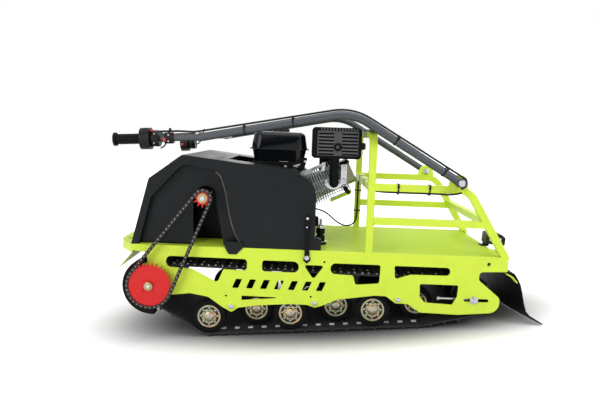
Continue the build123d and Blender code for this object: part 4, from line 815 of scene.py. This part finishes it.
@dataclass
class SilencerTrim:
    """Louvre lips, face plate, ribs and boss of the silencer's guard."""

    # heights of the face plate's foot, first slot and top above the guard's foot
    base_z: float = 418.0
    lowest: float = 8.0
    first_slot: float = 14.0
    highest: float = 102.0
    face: Pair = (38.0, 192.0)
    boss: Pair = (114.0, 461.5)
    near_y: float = -142.0
    rows: int = 7
    pitch: float = 12.6
    slot_h: float = 5.0
    columns: tuple[Pair, ...] = ((44.0, 98.0), (130.0, 186.0))

    def build(self) -> None:
        """Make everything on the guard."""
        self.louvres()
        self.frame()
        self.knob()

    def louvres(self) -> None:
        """Face plate with its rows of slots, the lips over them and dark blocks behind them as painted shadow."""
        plate, y = Shape("silencer_face_plate"), self.near_y
        left, right = self.face
        heights = [self.base_z + self.first_slot + index * self.pitch for index in range(self.rows)]
        edges = [self.base_z + self.lowest] + [z + self.slot_h for z in heights]
        (first, second), (third, fourth) = self.columns
        for low, high in zip(edges, heights + [self.base_z + self.highest]):
            plate.block((left, y - 1.3, low), (right, y + 0.2, high))
        for z in heights:
            for start, end in ((left, first), (second, third), (fourth, right)):
                plate.block((start, y - 1.3, z - 0.01), (end, y + 0.2, z + self.slot_h + 0.01))
        plate.hand_over(GREY_ENAMEL, ease=0.3)
        lips, dark = Shape("silencer_louvre_lips"), Shape("silencer_louvre_shadows")
        for z in heights:
            for start, end in self.columns:
                top = z + self.slot_h
                lips.slab([(start, y - 1.2, top + 2.4), (start, y - 2.4, top + 0.9), (start, y - 2.2, top + 0.3),
                           (start, y - 1.2, top + 0.3)], (end - start, 0, 0))
                # near-black block in each slot: painted shadow
                dark.block((start - 1.5, y - 1.45, z - 0.9), (end + 1.5, y - 0.2, top + 0.2))
        lips.hand_over(GREY_ENAMEL)
        dark.hand_over(LOUVRE_SHADOW_BLACK)

    def frame(self) -> None:
        """Raised frame with the ring of its boss, the ribs along the top and the boss itself."""
        y = self.near_y
        frame = Shape("silencer_frame_ribs")
        frame.collar(self.rounded(25, 528, 197, 423, 11, y), self.rounded(33, 521, 190, 429, 6, y), (0, -2.6, 0))
        boss = (self.boss[0], y - 4, self.boss[1])
        ring = [(-1, 15), (1.5, 15), (3.2, 13.2), (3.2, 9.4), (0.6, 8.4), (-1, 8.4)]
        frame.lathe(boss, LEFT, ring, 32, hollow=True)
        frame.hand_over(SATIN_BLACK, ease=0.5)
        ribs = Shape("silencer_top_ribs")
        for index in range(13):
            x = 50 + index * 11.0
            ribs.block((x, y - 3.6, 519.5), (x + 5.2, y + 0.3, 530.5))
        ribs.lathe(boss, LEFT, [(-1, 0), (-1, 6.8), (1.4, 6.2), (2.0, 4.4), (2.0, 0)], 24)
        ribs.hand_over(GREY_ENAMEL, ease=0.4)

    @staticmethod
    def knob() -> None:
        """Lobed knob at the guard's rear end."""
        knob = Shape("silencer_side_knob")
        grip = [(0, 0), (0, 12.4), (3, 13.4), (11, 13.4), (17, 11.5), (19.5, 7), (19.8, 0)]
        knob.lathe((202, -90, 466), REAR, grip, 36, lobes=9, lobe_depth=0.05)
        knob.hand_over(HARD_BLACK, crease=60)

    @staticmethod
    def rounded(x0: float, z1: float, x1: float, z0: float, corner: float, y: float) -> list[Point]:
        """Outline of a rectangle with round corners, in the plane of the face."""
        points = []
        for cx, cz, first in ((x1 - corner, z1 - corner, 0), (x0 + corner, z1 - corner, 90),
                              (x0 + corner, z0 + corner, 180), (x1 - corner, z0 + corner, 270)):
            for step in range(6):
                angle = radians(first + 18 * step)
                points.append((cx + corner * cos(angle), y, cz + corner * sin(angle)))
        return points


@dataclass
class EngineTrim:
    """Small parts round the cylinder, the tank, the mount and the starter."""

    cylinder: Pair = (20.0, 292.0)
    tilt: float = 26.4
    fin_half_y: float = 92.0
    fuel_cap: Pair = (-105.0, -10.0)
    mount_at: Pair = (62.0, -150.0)
    starter_at: Point = (-100.0, 193.0, 235.0)

    def along(self, out: float, y: float, up: float) -> Point:
        """A point given along, beside and across the tilted cylinder."""
        angle = radians(self.tilt)
        x, z = self.cylinder
        return (x + out * cos(angle) - up * sin(angle), y, z + out * sin(angle) + up * cos(angle))

    def build(self) -> None:
        """Make every small part of the engine."""
        self.head()
        self.linkage()
        self.cowl()
        self.tank()
        self.mount()
        self.starter()
        SilencerTrim().build()

    def head(self) -> None:
        """Valve cover bolts, head bolts, flange nuts and the spark plug."""
        shape = Shape("engine_head_bolts")
        out = Vector(self.along(1, 0, 0)) - Vector(self.along(0, 0, 0))
        for y in (-52, 52):
            for up in (-34, 38):
                shape.lathe(self.along(176.2, y, up), out, [(0, 0), (0, 7.5), (1.4, 7.5), (1.4, 0)], 20)
                shape.lathe(self.along(177, y, up), out, [(0, 0), (0, 5.2), (3.6, 5.2), (4.4, 4.2), (4.4, 0)], 6)
        for up in (-40, 44):
            shape.bolt(self.along(132, -self.fin_half_y, up), LEFT, 6.2, 4.5, 1.35)
        for x in (80.0, 132.0):
            shape.bolt((x, -99, 326), LEFT, 5.6, 4.4, 1.4, stud=4)
        for z in (336.0, 384.0):
            shape.bolt((143, -118.5, z), LEFT, 5.8, 3.2, 1.35)
        shape.hand_over(STEEL)
        plug = Shape("spark_plug")
        start, axis = self.along(120, -86, -30), (0.50, -0.55, -0.62)
        plug.lathe(start, axis, [(0, 0), (0, 11), (9, 11), (10, 9)], 6)
        plug.lathe(start, axis, [(10, 9), (12, 7), (20, 6.6), (20, 0)], 20)
        plug.hand_over(STEEL)
        boot = Shape("spark_plug_boot")
        boot.lathe(start, axis, [(18, 0), (18, 8.6), (24, 9.4), (40, 8.4), (46, 6.0), (50, 0)], 24)
        boot.hand_over(RUBBER)
        plate = Shape("cylinder_lime_plate")
        plate.slab([(98, -72, 246), (178, -72, 283), (178, -72, 297), (98, -72, 260)], (0, 22, 0))
        plate.hand_over(LIME, ease=1.2, segments=2)

    def linkage(self) -> None:
        """Throttle rod with its spring and levers, and the fuel tap, on the near side."""
        rod = Shape("throttle_linkage")
        rod.tube([(-26, -104, 346), (-16, -104, 356), (50, -104, 383), (66, -104, 390)], 1.8)
        rod.tube([(-20, -101, 338), (30, -101, 362), (58, -101, 372)], 1.3)
        coil = [(20 + 26 * step / 72, -108 + 3.4 * cos(step * 0.9),
                 371 + 11 * step / 72 + 3.4 * sin(step * 0.9)) for step in range(73)]
        rod.tube(coil, 0.8, 6)
        rod.slab([(60, -106, 402), (72, -106, 398), (70, -106, 370), (58, -106, 368)], (0, 2.2, 0))
        rod.slab([(-34, -106, 352), (-22, -106, 356), (-12, -106, 330), (-22, -106, 326)], (0, 2.2, 0))
        rod.bolt((66, -106, 390), LEFT, 4.6, 3.4, 1.4)
        rod.bolt((-28, -106, 346), LEFT, 4.6, 3.4, 1.4)
        rod.bolt((-18, -106, 334), LEFT, 3.6, 3.0, 1.4)
        rod.hand_over(STEEL)
        bracket = Shape("throttle_bracket")
        bracket.slab([(-46, -103, 372), (-8, -103, 366), (74, -103, 404), (74, -103, 396), (2, -103, 352),
                      (-30, -103, 322), (-46, -103, 330)], (0, 3, 0))
        bracket.hand_over(CAST, ease=0.6)
        tap = Shape("fuel_tap")
        tap.lathe((-38, -88, 384), LEFT, [(0, 0), (0, 9), (16, 9), (18, 7.4), (24, 7.4), (25.5, 6), (26, 0)], 24)
        tap.slab([(-48, -114, 380), (-24, -114, 388), (-22, -114, 394), (-50, -114, 386)], (0, -3.4, 0))
        tap.lathe((-38, -97, 384), (0, 0, -1), [(0, 0), (0, 5.4), (14, 5.4), (15, 3.6), (24, 3.6), (24, 0)], 16)
        tap.hand_over(STEEL, ease=0.4)

    def cowl(self) -> None:
        """Pressed cowl between the tank and the cylinder, with its ribs and screws."""
        shape = Shape("engine_cowl")
        outline = [(-206, -113, 372), (-206, -113, 399), (-90, -113, 399), (-60, -113, 399), (-14, -113, 420),
                   (4, -113, 414), (-8, -113, 372), (-36, -113, 350), (-84, -113, 372)]
        shape.slab(outline, (0, 3.6, 0))
        for index in range(6):
            x = -196 + 18 * index
            shape.block((x, -115.4, 377), (x + 9, -112, 395))
        shape.hand_over(SATIN_BLACK, ease=1.2, segments=2)
        screws = Shape("engine_cowl_screws")
        for x, z in ((-201, 386), (-78, 380), (-4, 402)):
            screws.bolt((x, -114, z), LEFT, 3.6, 2.4, 1.5)
        for x in (-195, -170, -35, -10):
            screws.bolt((x, -104, 130), UP, 6.4, 4.6, 1.5)
        screws.hand_over(STEEL)

    def tank(self) -> None:
        """Grip ribs round the filler cap, its raised centre and the neck under it."""
        x, y = self.fuel_cap
        cap = Shape("fuel_cap_ribs")
        skirt = [(0.4, 30), (0.4, 33.4), (11, 33.4), (13, 31.6), (13.4, 30)]
        cap.lathe((x, y, 510), UP, skirt, 72, lobes=24, lobe_depth=0.022, hollow=True)
        cap.lathe((x, y, 523.4), UP, [(0, 0), (0, 22), (0.5, 21), (0.5, 0)], 36)
        cap.hand_over(HARD_BLACK, crease=70)
        neck = Shape("fuel_cap_neck")
        flange = [(0, 36), (2, 37), (4.6, 36.4), (5.2, 34), (5.2, 28), (0, 28)]
        neck.lathe((x, y, 505), UP, flange, 44, hollow=True)
        neck.hand_over(GLOSS_BLACK)

    def mount(self) -> None:
        """Bright thread, nut and cup washer of the rubber mount."""
        x, y = self.mount_at
        shape = Shape("mount_thread_and_nut")
        ridges = []
        for index in range(11):
            ridges += [(index * 2.1, 5.3), (index * 2.1 + 1.05, 6.1)]
        shape.lathe((x, y, 169), UP, [(0, 0)] + ridges + [(24.5, 4.6), (24.5, 0)], 20)
        shape.bolt((x, y, 158), UP, 10.4, 8.0, 1.5)
        shape.lathe((x, y, 107), UP, [(0, 18), (0, 24), (2, 24), (4.4, 18)], 32, hollow=True)
        shape.hand_over(STEEL)

    def starter(self) -> None:
        """Cooling ribs, screws and pull handle of the recoil starter on the far side."""
        centre = Vector(self.starter_at)
        shape = Shape("starter_cooling_ribs")
        count = 28
        for index in range(count):
            angle = tau * index / count
            reach, across = Vector((cos(angle), 0, sin(angle))), Vector((-sin(angle), 0, cos(angle)))
            corners = ((34, 1.6), (77, 3.4), (77, -3.4), (34, -1.6))
            shape.slab([centre + reach * near + across * side for near, side in corners], (0, 4.4, 0))
        shape.lathe(centre, RIGHT, [(0, 0), (0, 31), (3.5, 31), (6, 28), (6, 0)], 40)
        shape.lathe(centre, RIGHT, [(0, 78), (0, 84), (4, 84), (5, 82), (5, 79), (4, 78)], 64, hollow=True)
        shape.hand_over(SATIN_BLACK, ease=0.5)
        screws = Shape("starter_screws")
        for place in circle_places((centre.x, 158, centre.z), 101, 4, 45):
            screws.bolt(place, RIGHT, 5.0, 3.6, 1.5)
        screws.hand_over(STEEL)
        handle = Shape("starter_pull_handle")
        handle.lathe((-38, 176, 306), (0.62, 0.0, 0.78), [(0, 0), (0, 6), (4, 8), (10, 8.4), (14, 7), (14, 0)], 24)
        handle.lathe((-29.3, 158, 317), RIGHT, [(-4, 0), (-2, 6), (6, 7.5), (30, 7.5), (38, 6), (40, 0)], 24)
        handle.hand_over(HARD_BLACK)


@dataclass
class HoodTrim:
    """Painted highlight along the crease of the hood's recess, and the fittings of its straps."""

    half: float = 270.0
    crease: tuple[Pair, ...] = (
        (-316.0, 363.0), (-306.0, 357.0), (-297.0, 346.0), (-291.0, 330.0), (-285.0, 309.0), (-279.0, 290.0),
        (-274.0, 262.0), (-269.0, 234.0), (-263.0, 206.0), (-254.0, 174.0), (-245.0, 148.0), (-230.0, 122.0),
        (-213.0, 100.0),
    )

    def build(self) -> None:
        """Make the painted highlight along the crease, the straps' rivets and bolts, and the straps' tips."""
        # a light tube along the crease: painted highlight
        edge = Shape("hood_recess_painted_highlight")
        edge.tube([(x, 1.0 - self.half, z) for x, z in self.crease], 2.5, 8, wobble=0.25, seed=11)
        edge.hand_over(CREASE_HIGHLIGHT)
        shape = Shape("strap_rivets")
        for sign, facing in SIDES:
            y = sign * 282.0
            shape.bolt((14, sign * 286.6, 72), facing, 6.2, 3.4, 1.35)
            shape.lathe((12, sign * 288.6, 213), facing, [(0, 0), (0, 5.2), (1.2, 4.6), (2.2, 2.6), (2.4, 0)], 24)
            shape.lathe((11, y, 181), facing, [(-0.5, 0), (-0.5, 3.2), (0.8, 2.8), (1.6, 1.6), (1.8, 0)], 20)
        shape.hand_over(STEEL)
        tip = Shape("strap_arrow_tips")
        for sign in (-1, 1):
            y = sign * 275.6
            tip.slab([(3, y, 74), (2, y, 61), (14, y, 50), (27, y, 61), (26, y, 74)], (0, sign * 5.0, 0))
            tip.block((0, min(y, sign * 283), 186), (24, max(y, sign * 283), 190))
        tip.hand_over(RUBBER, ease=1.4, segments=2)


@dataclass
class CageTrim:
    """Weld beads, cable ties and hinge bolts of the tube cage."""

    tube_y: float = 262.5
    half: float = 12.5
    hoop_x: float = 232.0
    rails: Pair = (330.0, 210.0)
    rail_ties: Pair = (322.0, 431.0)
    post_ties: Pair = (172.0, 262.0)
    # the hinge bolts' seats on the outer and the inner face of the ears
    ear_outside: float = 310.9
    ear_inside: float = 267.0

    def build(self) -> None:
        """Make the beads, the ties and the bolts."""
        beads = Shape("cage_weld_beads")
        seed = 20
        for side in (-1, 1):
            for rail in self.rails:
                seed += 1
                self.bead_loop(beads, self.hoop_x + self.half + 0.5, side * self.tube_y, rail, seed)
        beads.hand_over(LIME, crease=80)
        ties = Shape("cage_cable_ties")
        for x in self.rail_ties:
            self.tie_round_rail(ties, x)
        for z in self.post_ties:
            self.ring(ties, (self.hoop_x, self.tube_y - 4, z), (13.4, 18.6), Vector((0, 0, 5)), (1, 0, 0), (0, 1, 0))
        for y in (-120.0, 60.0):
            self.ring(ties, (self.hoop_x, y, 326.5), (13.4, 17.6), Vector((0, 5, 0)), (1, 0, 0), (0, 0, 1))
        ties.hand_over(HARD_BLACK)
        bolts = Shape("hinge_bolts")
        x, z = HINGE
        for sign, facing in SIDES:
            bolts.bolt((x, sign * self.ear_outside, z), facing, 10.7, 4.9, 1.06)
            bolts.bolt((x, -sign * self.ear_inside, z), facing, 9.6, 7.0, 1.4, stud=3)
        bolts.hand_over(STEEL)

    def bead_loop(self, shape: Shape, x: float, y: float, z: float, seed: int) -> None:
        """Weld bead round the end of one rail."""
        half = self.half
        corners = [(x, y + across * half, z + up * half)
                   for across, up in ((-1, -1), (1, -1), (1, 1), (-1, 1), (-1, -1))]
        points = []
        for start, end in zip(corners, corners[1:]):
            points += [Vector(start).lerp(Vector(end), share / 7) for share in range(7)]
        shape.tube(points, 1.9, 8, wobble=0.3, seed=seed)

    def tie_round_rail(self, shape: Shape, x: float) -> None:
        """Cable tie round the near rail and the cable under it."""
        y, z = -self.tube_y, self.rails[0]
        self.ring(shape, (x, y, z - 4), (13.6, 18.0), Vector((5, 0, 0)), (0, 1, 0), (0, 0, 1))
        shape.block((x - 1, y - self.half - 5.6, z + 1), (x + 6, y - self.half - 0.2, z + 9))

    @staticmethod
    def ring(shape: Shape, centre: Point, half: Pair, depth: Vector, across: Point,
             upward: Point) -> None:
        """Flat band of rectangular outline with round corners."""
        loops = []
        for grow in (1.2, 0.0):
            wide, tall, corner = half[0] + grow, half[1] + grow, 3.0
            loop = []
            for side, up, first in ((1, 1, 0), (-1, 1, 90), (-1, -1, 180), (1, -1, 270)):
                for step in range(4):
                    angle = radians(first + 30 * step)
                    loop.append(Vector(centre) + Vector(across) * (side * (wide - corner) + corner * cos(angle))
                                + Vector(upward) * (up * (tall - corner) + corner * sin(angle)))
            loops.append(loop)
        shape.collar(loops[0], loops[1], depth)


@dataclass
class TillerTrim:
    """Cable ties, grip ribs, buttons and levers that ride on the tiller."""

    arm_y: float = 294.0
    arm_r: float = 14.0
    line: tuple[Pair, ...] = (HINGE, (150.0, 583.0), (-374.0, 481.0))
    bar_front: Pair = (-655.0, 466.0)
    bar_back: Pair = (-354.0, 483.0)
    far_drop: float = 26.0
    # places along the handlebar's end: the pod's drum, block and switch, then the clamp
    pod_places: Point = (104.0, 136.0, 127.0)
    clamp_place: float = 183.0
    tie_places: tuple[float, ...] = (-212.0, -47.0, 306.0, 476.0)
    far_button: Point = (-556.0, 260.0, 439.0)

    def build(self) -> None:
        """Make everything on the tiller."""
        self.ties()
        self.grips()
        self.pods()

    def arm_point(self, x: float) -> tuple[Vector, Vector]:
        """Centre and direction of the left arm at a place along the machine."""
        rear, bend, front = (Vector((x0, -self.arm_y, z0)) for x0, z0 in self.line)
        start, end = (rear, bend) if x > bend.x else (bend, front)
        share = (x - start.x) / (end.x - start.x)
        return start.lerp(end, share), (end - start).normalized()

    def bar_point(self, along: float, side: int = -1) -> tuple[Vector, Vector]:
        """Centre and direction of a handlebar end, along from its front."""
        front = Vector((self.bar_front[0], side * self.arm_y, self.bar_front[1]))
        back = Vector((self.bar_back[0], side * self.arm_y, self.bar_back[1]))
        direction = (back - front).normalized()
        return front + direction * along, direction

    def ties(self) -> None:
        """Cable ties round the left arm and its cable."""
        shape = Shape("tiller_cable_ties")
        for x in self.tie_places:
            centre, direction = self.arm_point(x)
            up = Vector((0, 1, 0)).cross(direction)
            up = up if up.z > 0 else -up
            middle = centre + up * 3.6
            loops = []
            for grow in (1.3, 0.0):
                loops.append([middle + Vector((0, 1, 0)) * cos(angle) * (self.arm_r + 0.9 + grow)
                              + up * sin(angle) * (self.arm_r + 4.4 + grow)
                              for angle in (tau * step / 28 for step in range(28))])
            shape.collar(loops[0], loops[1], direction * 5.0)
            head = middle + up * (self.arm_r * 0.8) + Vector((0, -1, 0)) * (self.arm_r * 0.72)
            shape.block(tuple(head - Vector((2.5, 3.5, 3.0))), tuple(head + Vector((4.5, 3.5, 4.0))))
        shape.hand_over(HARD_BLACK, body=TILLER, ease=0.3)

    def grips(self) -> None:
        """Ribs round both rubber grips and their end caps."""
        shape = Shape("grip_ribs")
        for side in (-1, 1):
            for index in range(13):
                centre, direction = self.bar_point(6.0 + index * 6.0, side)
                rib = [(-1.4, 16.4), (-0.7, 18.2), (0.7, 18.2), (1.4, 16.4)]
                shape.lathe(centre, direction, rib, 28, hollow=True)
            centre, direction = self.bar_point(-7.0, side)
            end_cap = [(0, 20), (-1.0, 18), (-1.4, 11), (-1.0, 0), (0.5, 0), (0.5, 20)]
            shape.lathe(centre, direction, end_cap, 32)
        shape.hand_over(RUBBER, body=TILLER, crease=70)

    def pods(self) -> None:
        """Caps, buttons, levers and screws of the two control pods and their clamps."""
        red, dark, bright = Shape("pod_red_buttons"), Shape("pod_levers"), Shape("pod_screws")
        screw = [(0, 0), (0, 3.0), (2.2, 2.8), (2.8, 1.6), (2.4, 0)]
        for side in (-1, 1):
            lowered = Vector((0, 0, self.far_drop if side > 0 else 0.0))
            drum, block, switch = (self.bar_point(along, side)[0] - lowered for along in self.pod_places)
            clamp, direction = self.bar_point(self.clamp_place, side)
            dark.lathe(block, direction, [(-14, 26.8), (-13, 28.0), (13, 28.0), (14, 26.8)], 40, hollow=True)
            self.pod_caps(dark, red, side, drum, block, switch)
            self.clamp_parts(dark, red, side, clamp)
            for ring, radius in ((block, 27.0), (clamp, 19.0)):
                for lift in (-0.55, 0.55):
                    place = ring + Vector((0, side * (radius * 0.83 - 1), radius * lift))
                    bright.lathe(place, (0.0, side, 0.0), screw, 16)
        red.lathe(self.far_button, LEFT, [(0, 0), (0, 6.6), (4.4, 6.2), (6.4, 4.6), (6.8, 0)], 24)
        red.hand_over(RED_PLASTIC, body=TILLER, crease=60)
        dark.hand_over(HARD_BLACK, body=TILLER, crease=60)
        bright.hand_over(STEEL, body=TILLER)

    @staticmethod
    def pod_caps(dark: Shape, red: Shape, side: int, drum: Vector, block: Vector, switch: Vector) -> None:
        """Add the round caps on a pod's outer face and the buttons on its top.

        Args:
            dark: Takes the black parts.
            red: Takes the red ones.
            side: -1 for the left pod, 1 for the right.
            drum: Centre of the pod's drum.
            block: Centre of its block.
            switch: Centre of its switch.
        """
        cap = [(0, 0), (0, 11), (4.6, 11), (5.4, 10), (5.4, 6.6), (4.6, 6), (4.6, 0)]
        for centre, reach in ((drum, 31.5), (block, 23.0)):
            dark.lathe(centre + Vector((0, side * reach, 0)), (0.0, side, 0.0), cap, 28)
        slanted = Vector((0.0, side * 0.42, 0.91))
        for centre, reach, radius in ((switch, 26.4, 5.2), (drum, 36.0, 4.4)):
            dark.lathe(centre + slanted * reach, slanted, [(0, 0), (0, radius + 2.6), (2, radius + 2.0), (2, 0)], 24)
        red.lathe(switch + slanted * 26.4, slanted, [(1.5, 0), (1.5, 5.2), (5.2, 5.2), (6.2, 4.2), (6.4, 0)], 24)

    @staticmethod
    def clamp_parts(dark: Shape, red: Shape, side: int, clamp: Vector) -> None:
        """Add the stop, the button and both levers of one handlebar clamp.

        Args:
            dark: Takes the black parts.
            red: Takes the red ones.
            side: -1 for the left clamp, 1 for the right.
            clamp: Centre of the clamp.
        """
        stop = [(0, 0), (0, 5.6), (2.6, 5.4), (3.2, 4.4), (3.3, 0)]
        red.lathe(clamp + Vector((-13, side * 18.4, -5)), (0.0, side, 0.0), stop, 24)
        red.lathe(clamp + Vector((20, 0, 12)), UP, [(0, 0), (0, 4.4), (3, 4.2), (4, 3), (4.2, 0)], 20)
        dark.lathe(clamp + Vector((20, 0, 0)), UP, [(0, 0), (0, 6), (12.4, 5.2), (12.6, 0)], 20)
        start = clamp + Vector((0, side * 8, 15))
        dark.tube([start + Vector(bend) for bend in ((0, 0, 0), (1, side, 8), (4, side * 2, 15))], 2.6, 12)
        knob = [(0, 0), (0, 4.2), (5, 4.6), (7.4, 3.2), (8, 0)]
        dark.lathe(start + Vector((4, side * 2, 12)), (0.3, 0.1 * side, 0.95), knob, 18)
        start = clamp + Vector((-10, side * 6, -16))
        bends = ((0, 0, 0), (-3, side, -8), (-9, side * 2, -15), (-18, side * 2, -19))
        dark.tube([start + Vector(bend) for bend in bends], 2.4, 12)


@dataclass
class RearTrim:
    """Lenses of the rear lamp and the rivets that hold the mudflap."""

    lamp_y: Pair = (-84.0, -28.0)

    def build(self) -> None:
        """Make the lenses and the rivets."""
        y0, y1 = self.lamp_y
        lens = Shape("rear_lamp_lens")
        lens.slab([(777.6, y0 + 5, 105), (779.2, y0 + 5, 130), (779.2, y1 - 5, 130), (777.6, y1 - 5, 105)],
                  (-2.2, 0, 0))
        lens.hand_over(RED_LENS, ease=0.7, segments=2)
        side = Shape("lamp_side_marker")
        side.slab([(716, y0, 120), (762, y0, 117), (763, y0, 131), (717, y0, 136)], (0, -1.6, 0))
        side.hand_over(CLEAR_LENS, ease=0.7, segments=2)
        low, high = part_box("flap_holders")
        rivets = Shape("flap_rivets")
        reach = (high[1] - low[1]) / MM
        for y in (-reach / 2 + 20, reach / 2 - 20):
            for x, z in ((744.0, 27.4), (757.0, 14.0)):
                rivets.lathe((x, y, z), (0.75, 0, 0.66), [(0, 0), (0, 5.2), (1.6, 4.6), (2.6, 2.6), (2.8, 0)], 20)
        rivets.hand_over(STEEL)


@dataclass
class FreeCable:
    """The loose loop of the control cable between the right post and the engine."""

    diameter: float = 7.0
    route: tuple[Point, ...] = (
        (232.0, 246.2, 159.4), (230.0, 243.0, 131.0), (210.0, 232.0, 110.0), (178.0, 214.0, 107.0),
        (146.0, 188.0, 124.0), (118.0, 156.0, 150.0), (94.0, 124.0, 174.0), (68.0, 102.0, 190.0),
        (44.0, 86.0, 197.0),
    )

    def build(self) -> None:
        """Make the cable on one smooth line."""
        curve = bpy.data.curves.new("control_cable_loop", "CURVE")
        curve.dimensions = "3D"
        spline = curve.splines.new("NURBS")
        spline.points.add(len(self.route) - 1)
        for control, place in zip(spline.points, self.route):
            control.co = (*STANCE.point(*place), 1.0)
        spline.order_u = 3
        spline.use_endpoint_u = True
        spline.resolution_u = 12
        plain = bpy.data.objects.new("cable_measure", curve)
        line = bpy.data.meshes.new_from_object(plain)
        bpy.data.objects.remove(plain)
        bpy.data.meshes.remove(line)
        curve.bevel_depth = self.diameter * MM / 2
        curve.bevel_resolution = 4
        curve.use_fill_caps = True
        curve.materials.append(CABLE_JACKET.material())
        piece = bpy.data.objects.new("control_cable_loop", curve)
        bpy.context.scene.collection.objects.link(piece)
        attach(piece, MACHINE)
        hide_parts("cable_loop")


@dataclass
class Studio:
    """Pale floor, white surroundings, soft lamps and the camera."""

    eye: Point = (10.583, -2176.977, 514.333)
    yaw: float = -0.832
    pitch: float = 7.141
    roll: float = 1.979
    focal_px: float = 547.469
    frame_px: float = 600.0
    sensor_mm: float = 36.0
    floor_half: float = 14.0
    # colour of the floor round the object: painted shadow
    floor_painted_shadow: Colour = (0.09, 0.09, 0.09)
    floor_far: Colour = (0.88, 0.88, 0.88)
    ambient: float = 0.48

    def build(self) -> None:
        """Make the whole studio."""
        self.camera()
        self.floor()
        self.world()
        self.lamps()

    def camera(self) -> None:
        """Stand the camera where the photograph was taken from."""
        yaw, pitch, roll = (radians(angle) for angle in (self.yaw, self.pitch, self.roll))
        ahead = Vector((sin(yaw) * cos(pitch), cos(yaw) * cos(pitch), -sin(pitch)))
        level = Vector((cos(yaw), -sin(yaw), 0.0))
        up = level.cross(ahead)
        right = level * cos(roll) + up * sin(roll)
        upright = up * cos(roll) - level * sin(roll)
        turn = STANCE.matrix.to_3x3().normalized()
        data = bpy.data.cameras.new("photo_camera")
        data.sensor_width = self.sensor_mm
        data.lens = self.sensor_mm * self.focal_px / self.frame_px
        data.clip_start, data.clip_end = 0.05, 60.0
        camera = bpy.data.objects.new("photo_camera", data)
        axes = Matrix((turn @ right, turn @ upright, turn @ -ahead)).transposed().to_4x4()
        camera.matrix_world = Matrix.Translation(STANCE.point(*self.eye)) @ axes
        bpy.context.scene.collection.objects.link(camera)
        bpy.context.scene.camera = camera

    def floor(self) -> None:
        """Wide white floor with a painted shadow: its colour darkens, and its glow fades, near the object."""
        mesh = bpy.data.meshes.new("studio_floor")
        corners = [(x * self.floor_half, y * self.floor_half, 0) for x, y in ((-1, -1), (1, -1), (1, 1), (-1, 1))]
        mesh.from_pydata(corners, [], [(0, 1, 2, 3)])
        plate = bpy.data.objects.new("studio_floor", mesh)
        bpy.context.scene.collection.objects.link(plate)
        tree = Tree("studio_white")
        seen = tree.node("ShaderNodeLightPath", output="Is Camera Ray")
        glossy = tree.node("ShaderNodeLightPath", output="Is Glossy Ray")
        away = tree.node("ShaderNodeVectorMath", {"operation": "LENGTH"}, {0: tree.place()}, "Value")
        stretch = {0: tree.place(), 1: (0.94, 1.9, 0.0)}
        spread = tree.node("ShaderNodeVectorMath", {"operation": "MULTIPLY"}, stretch)
        beside = tree.node("ShaderNodeVectorMath", {"operation": "LENGTH"}, {0: spread}, "Value")
        painted_shadow_tone = tree.blend(beside.step(0.44, 0.92), self.floor_painted_shadow, self.floor_far)
        tree.set(Base_Color=painted_shadow_tone, Roughness=0.9, Specular_IOR_Level=0.0, Emission_Color=(1.0, 1.0, 1.0))
        # the glow that whitens the floor far off is weaker near the object, which adds to the painted shadow there
        whitening = (seen + glossy) * (away.step(0.8, 2.6) * 0.55 + beside.step(0.60, 1.20) * 0.45)
        tree.set(Emission_Strength=whitening)
        mesh.materials.append(tree.material)

    def world(self) -> None:
        """White surroundings, dimmer as a light than they are seen or mirrored."""
        world = bpy.data.worlds.new("white_studio")
        bpy.context.scene.world = world
        world.use_nodes = True
        nodes, links = world.node_tree.nodes, world.node_tree.links
        path, shown, level = (nodes.new(f"ShaderNode{kind}") for kind in ("LightPath", "Math", "Math"))
        shown.operation, level.operation = "MAXIMUM", "MULTIPLY_ADD"
        for index, ray in enumerate(("Is Camera Ray", "Is Glossy Ray")):
            links.new(path.outputs[ray], shown.inputs[index])
        links.new(shown.outputs[0], level.inputs[0])
        level.inputs[1].default_value = 1 - self.ambient
        level.inputs[2].default_value = self.ambient
        background = nodes["Background"]
        background.inputs[0].default_value = (1.0, 1.0, 1.0, 1.0)
        links.new(level.outputs[0], background.inputs[1])

    def lamps(self) -> None:
        """Soft overhead, side and rear lamps."""
        rows = (
            # name, place, watts, size
            ("overhead", (0.3, -0.5, 3.2), 40.0, 2.4),
            ("front_side", (-2.2, -3.0, 1.9), 44.0, 1.8),
            ("rear_side", (2.6, -1.8, 2.0), 28.0, 1.6),
            ("far_side", (0.2, 2.8, 2.0), 20.0, 2.2),
        )
        for name, place, watts, size in rows:
            data = bpy.data.lights.new(name, "AREA")
            data.energy, data.size = watts, size
            lamp = bpy.data.objects.new(name, data)
            lamp.location = place
            lamp.rotation_euler = (Vector((0, 0, 0.3)) - Vector(place)).to_track_quat("-Z", "Y").to_euler()
            bpy.context.scene.collection.objects.link(lamp)


def dress_nodes(nodes: dict[str, bpy.types.Object]) -> None:
    """Give each CAD node its finish.

    Args:
        nodes: The frame's objects by name.
    """
    for name, piece in nodes.items():
        best = max((start for start in NODE_FINISHES if name.startswith(start)), key=len)
        material = NODE_FINISHES[best].material()
        piece.data.materials.clear()
        piece.data.materials.append(material)


def main() -> None:
    """Load the frame, dress it and set it in the studio."""
    logging.basicConfig(level=logging.INFO, format="%(message)s")
    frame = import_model()
    STANCE.settle(frame["joints"][0])
    bpy.context.scene.view_settings.view_transform = "Standard"
    Studio().build()
    FreeCable().build()
    dress_nodes(frame["nodes"])
    for assembly in (ChainDrive(), RunningGear(), EngineTrim(), HoodTrim(), CageTrim(), TillerTrim(), RearTrim()):
        assembly.build()


if __name__ == "__main__":
    main()
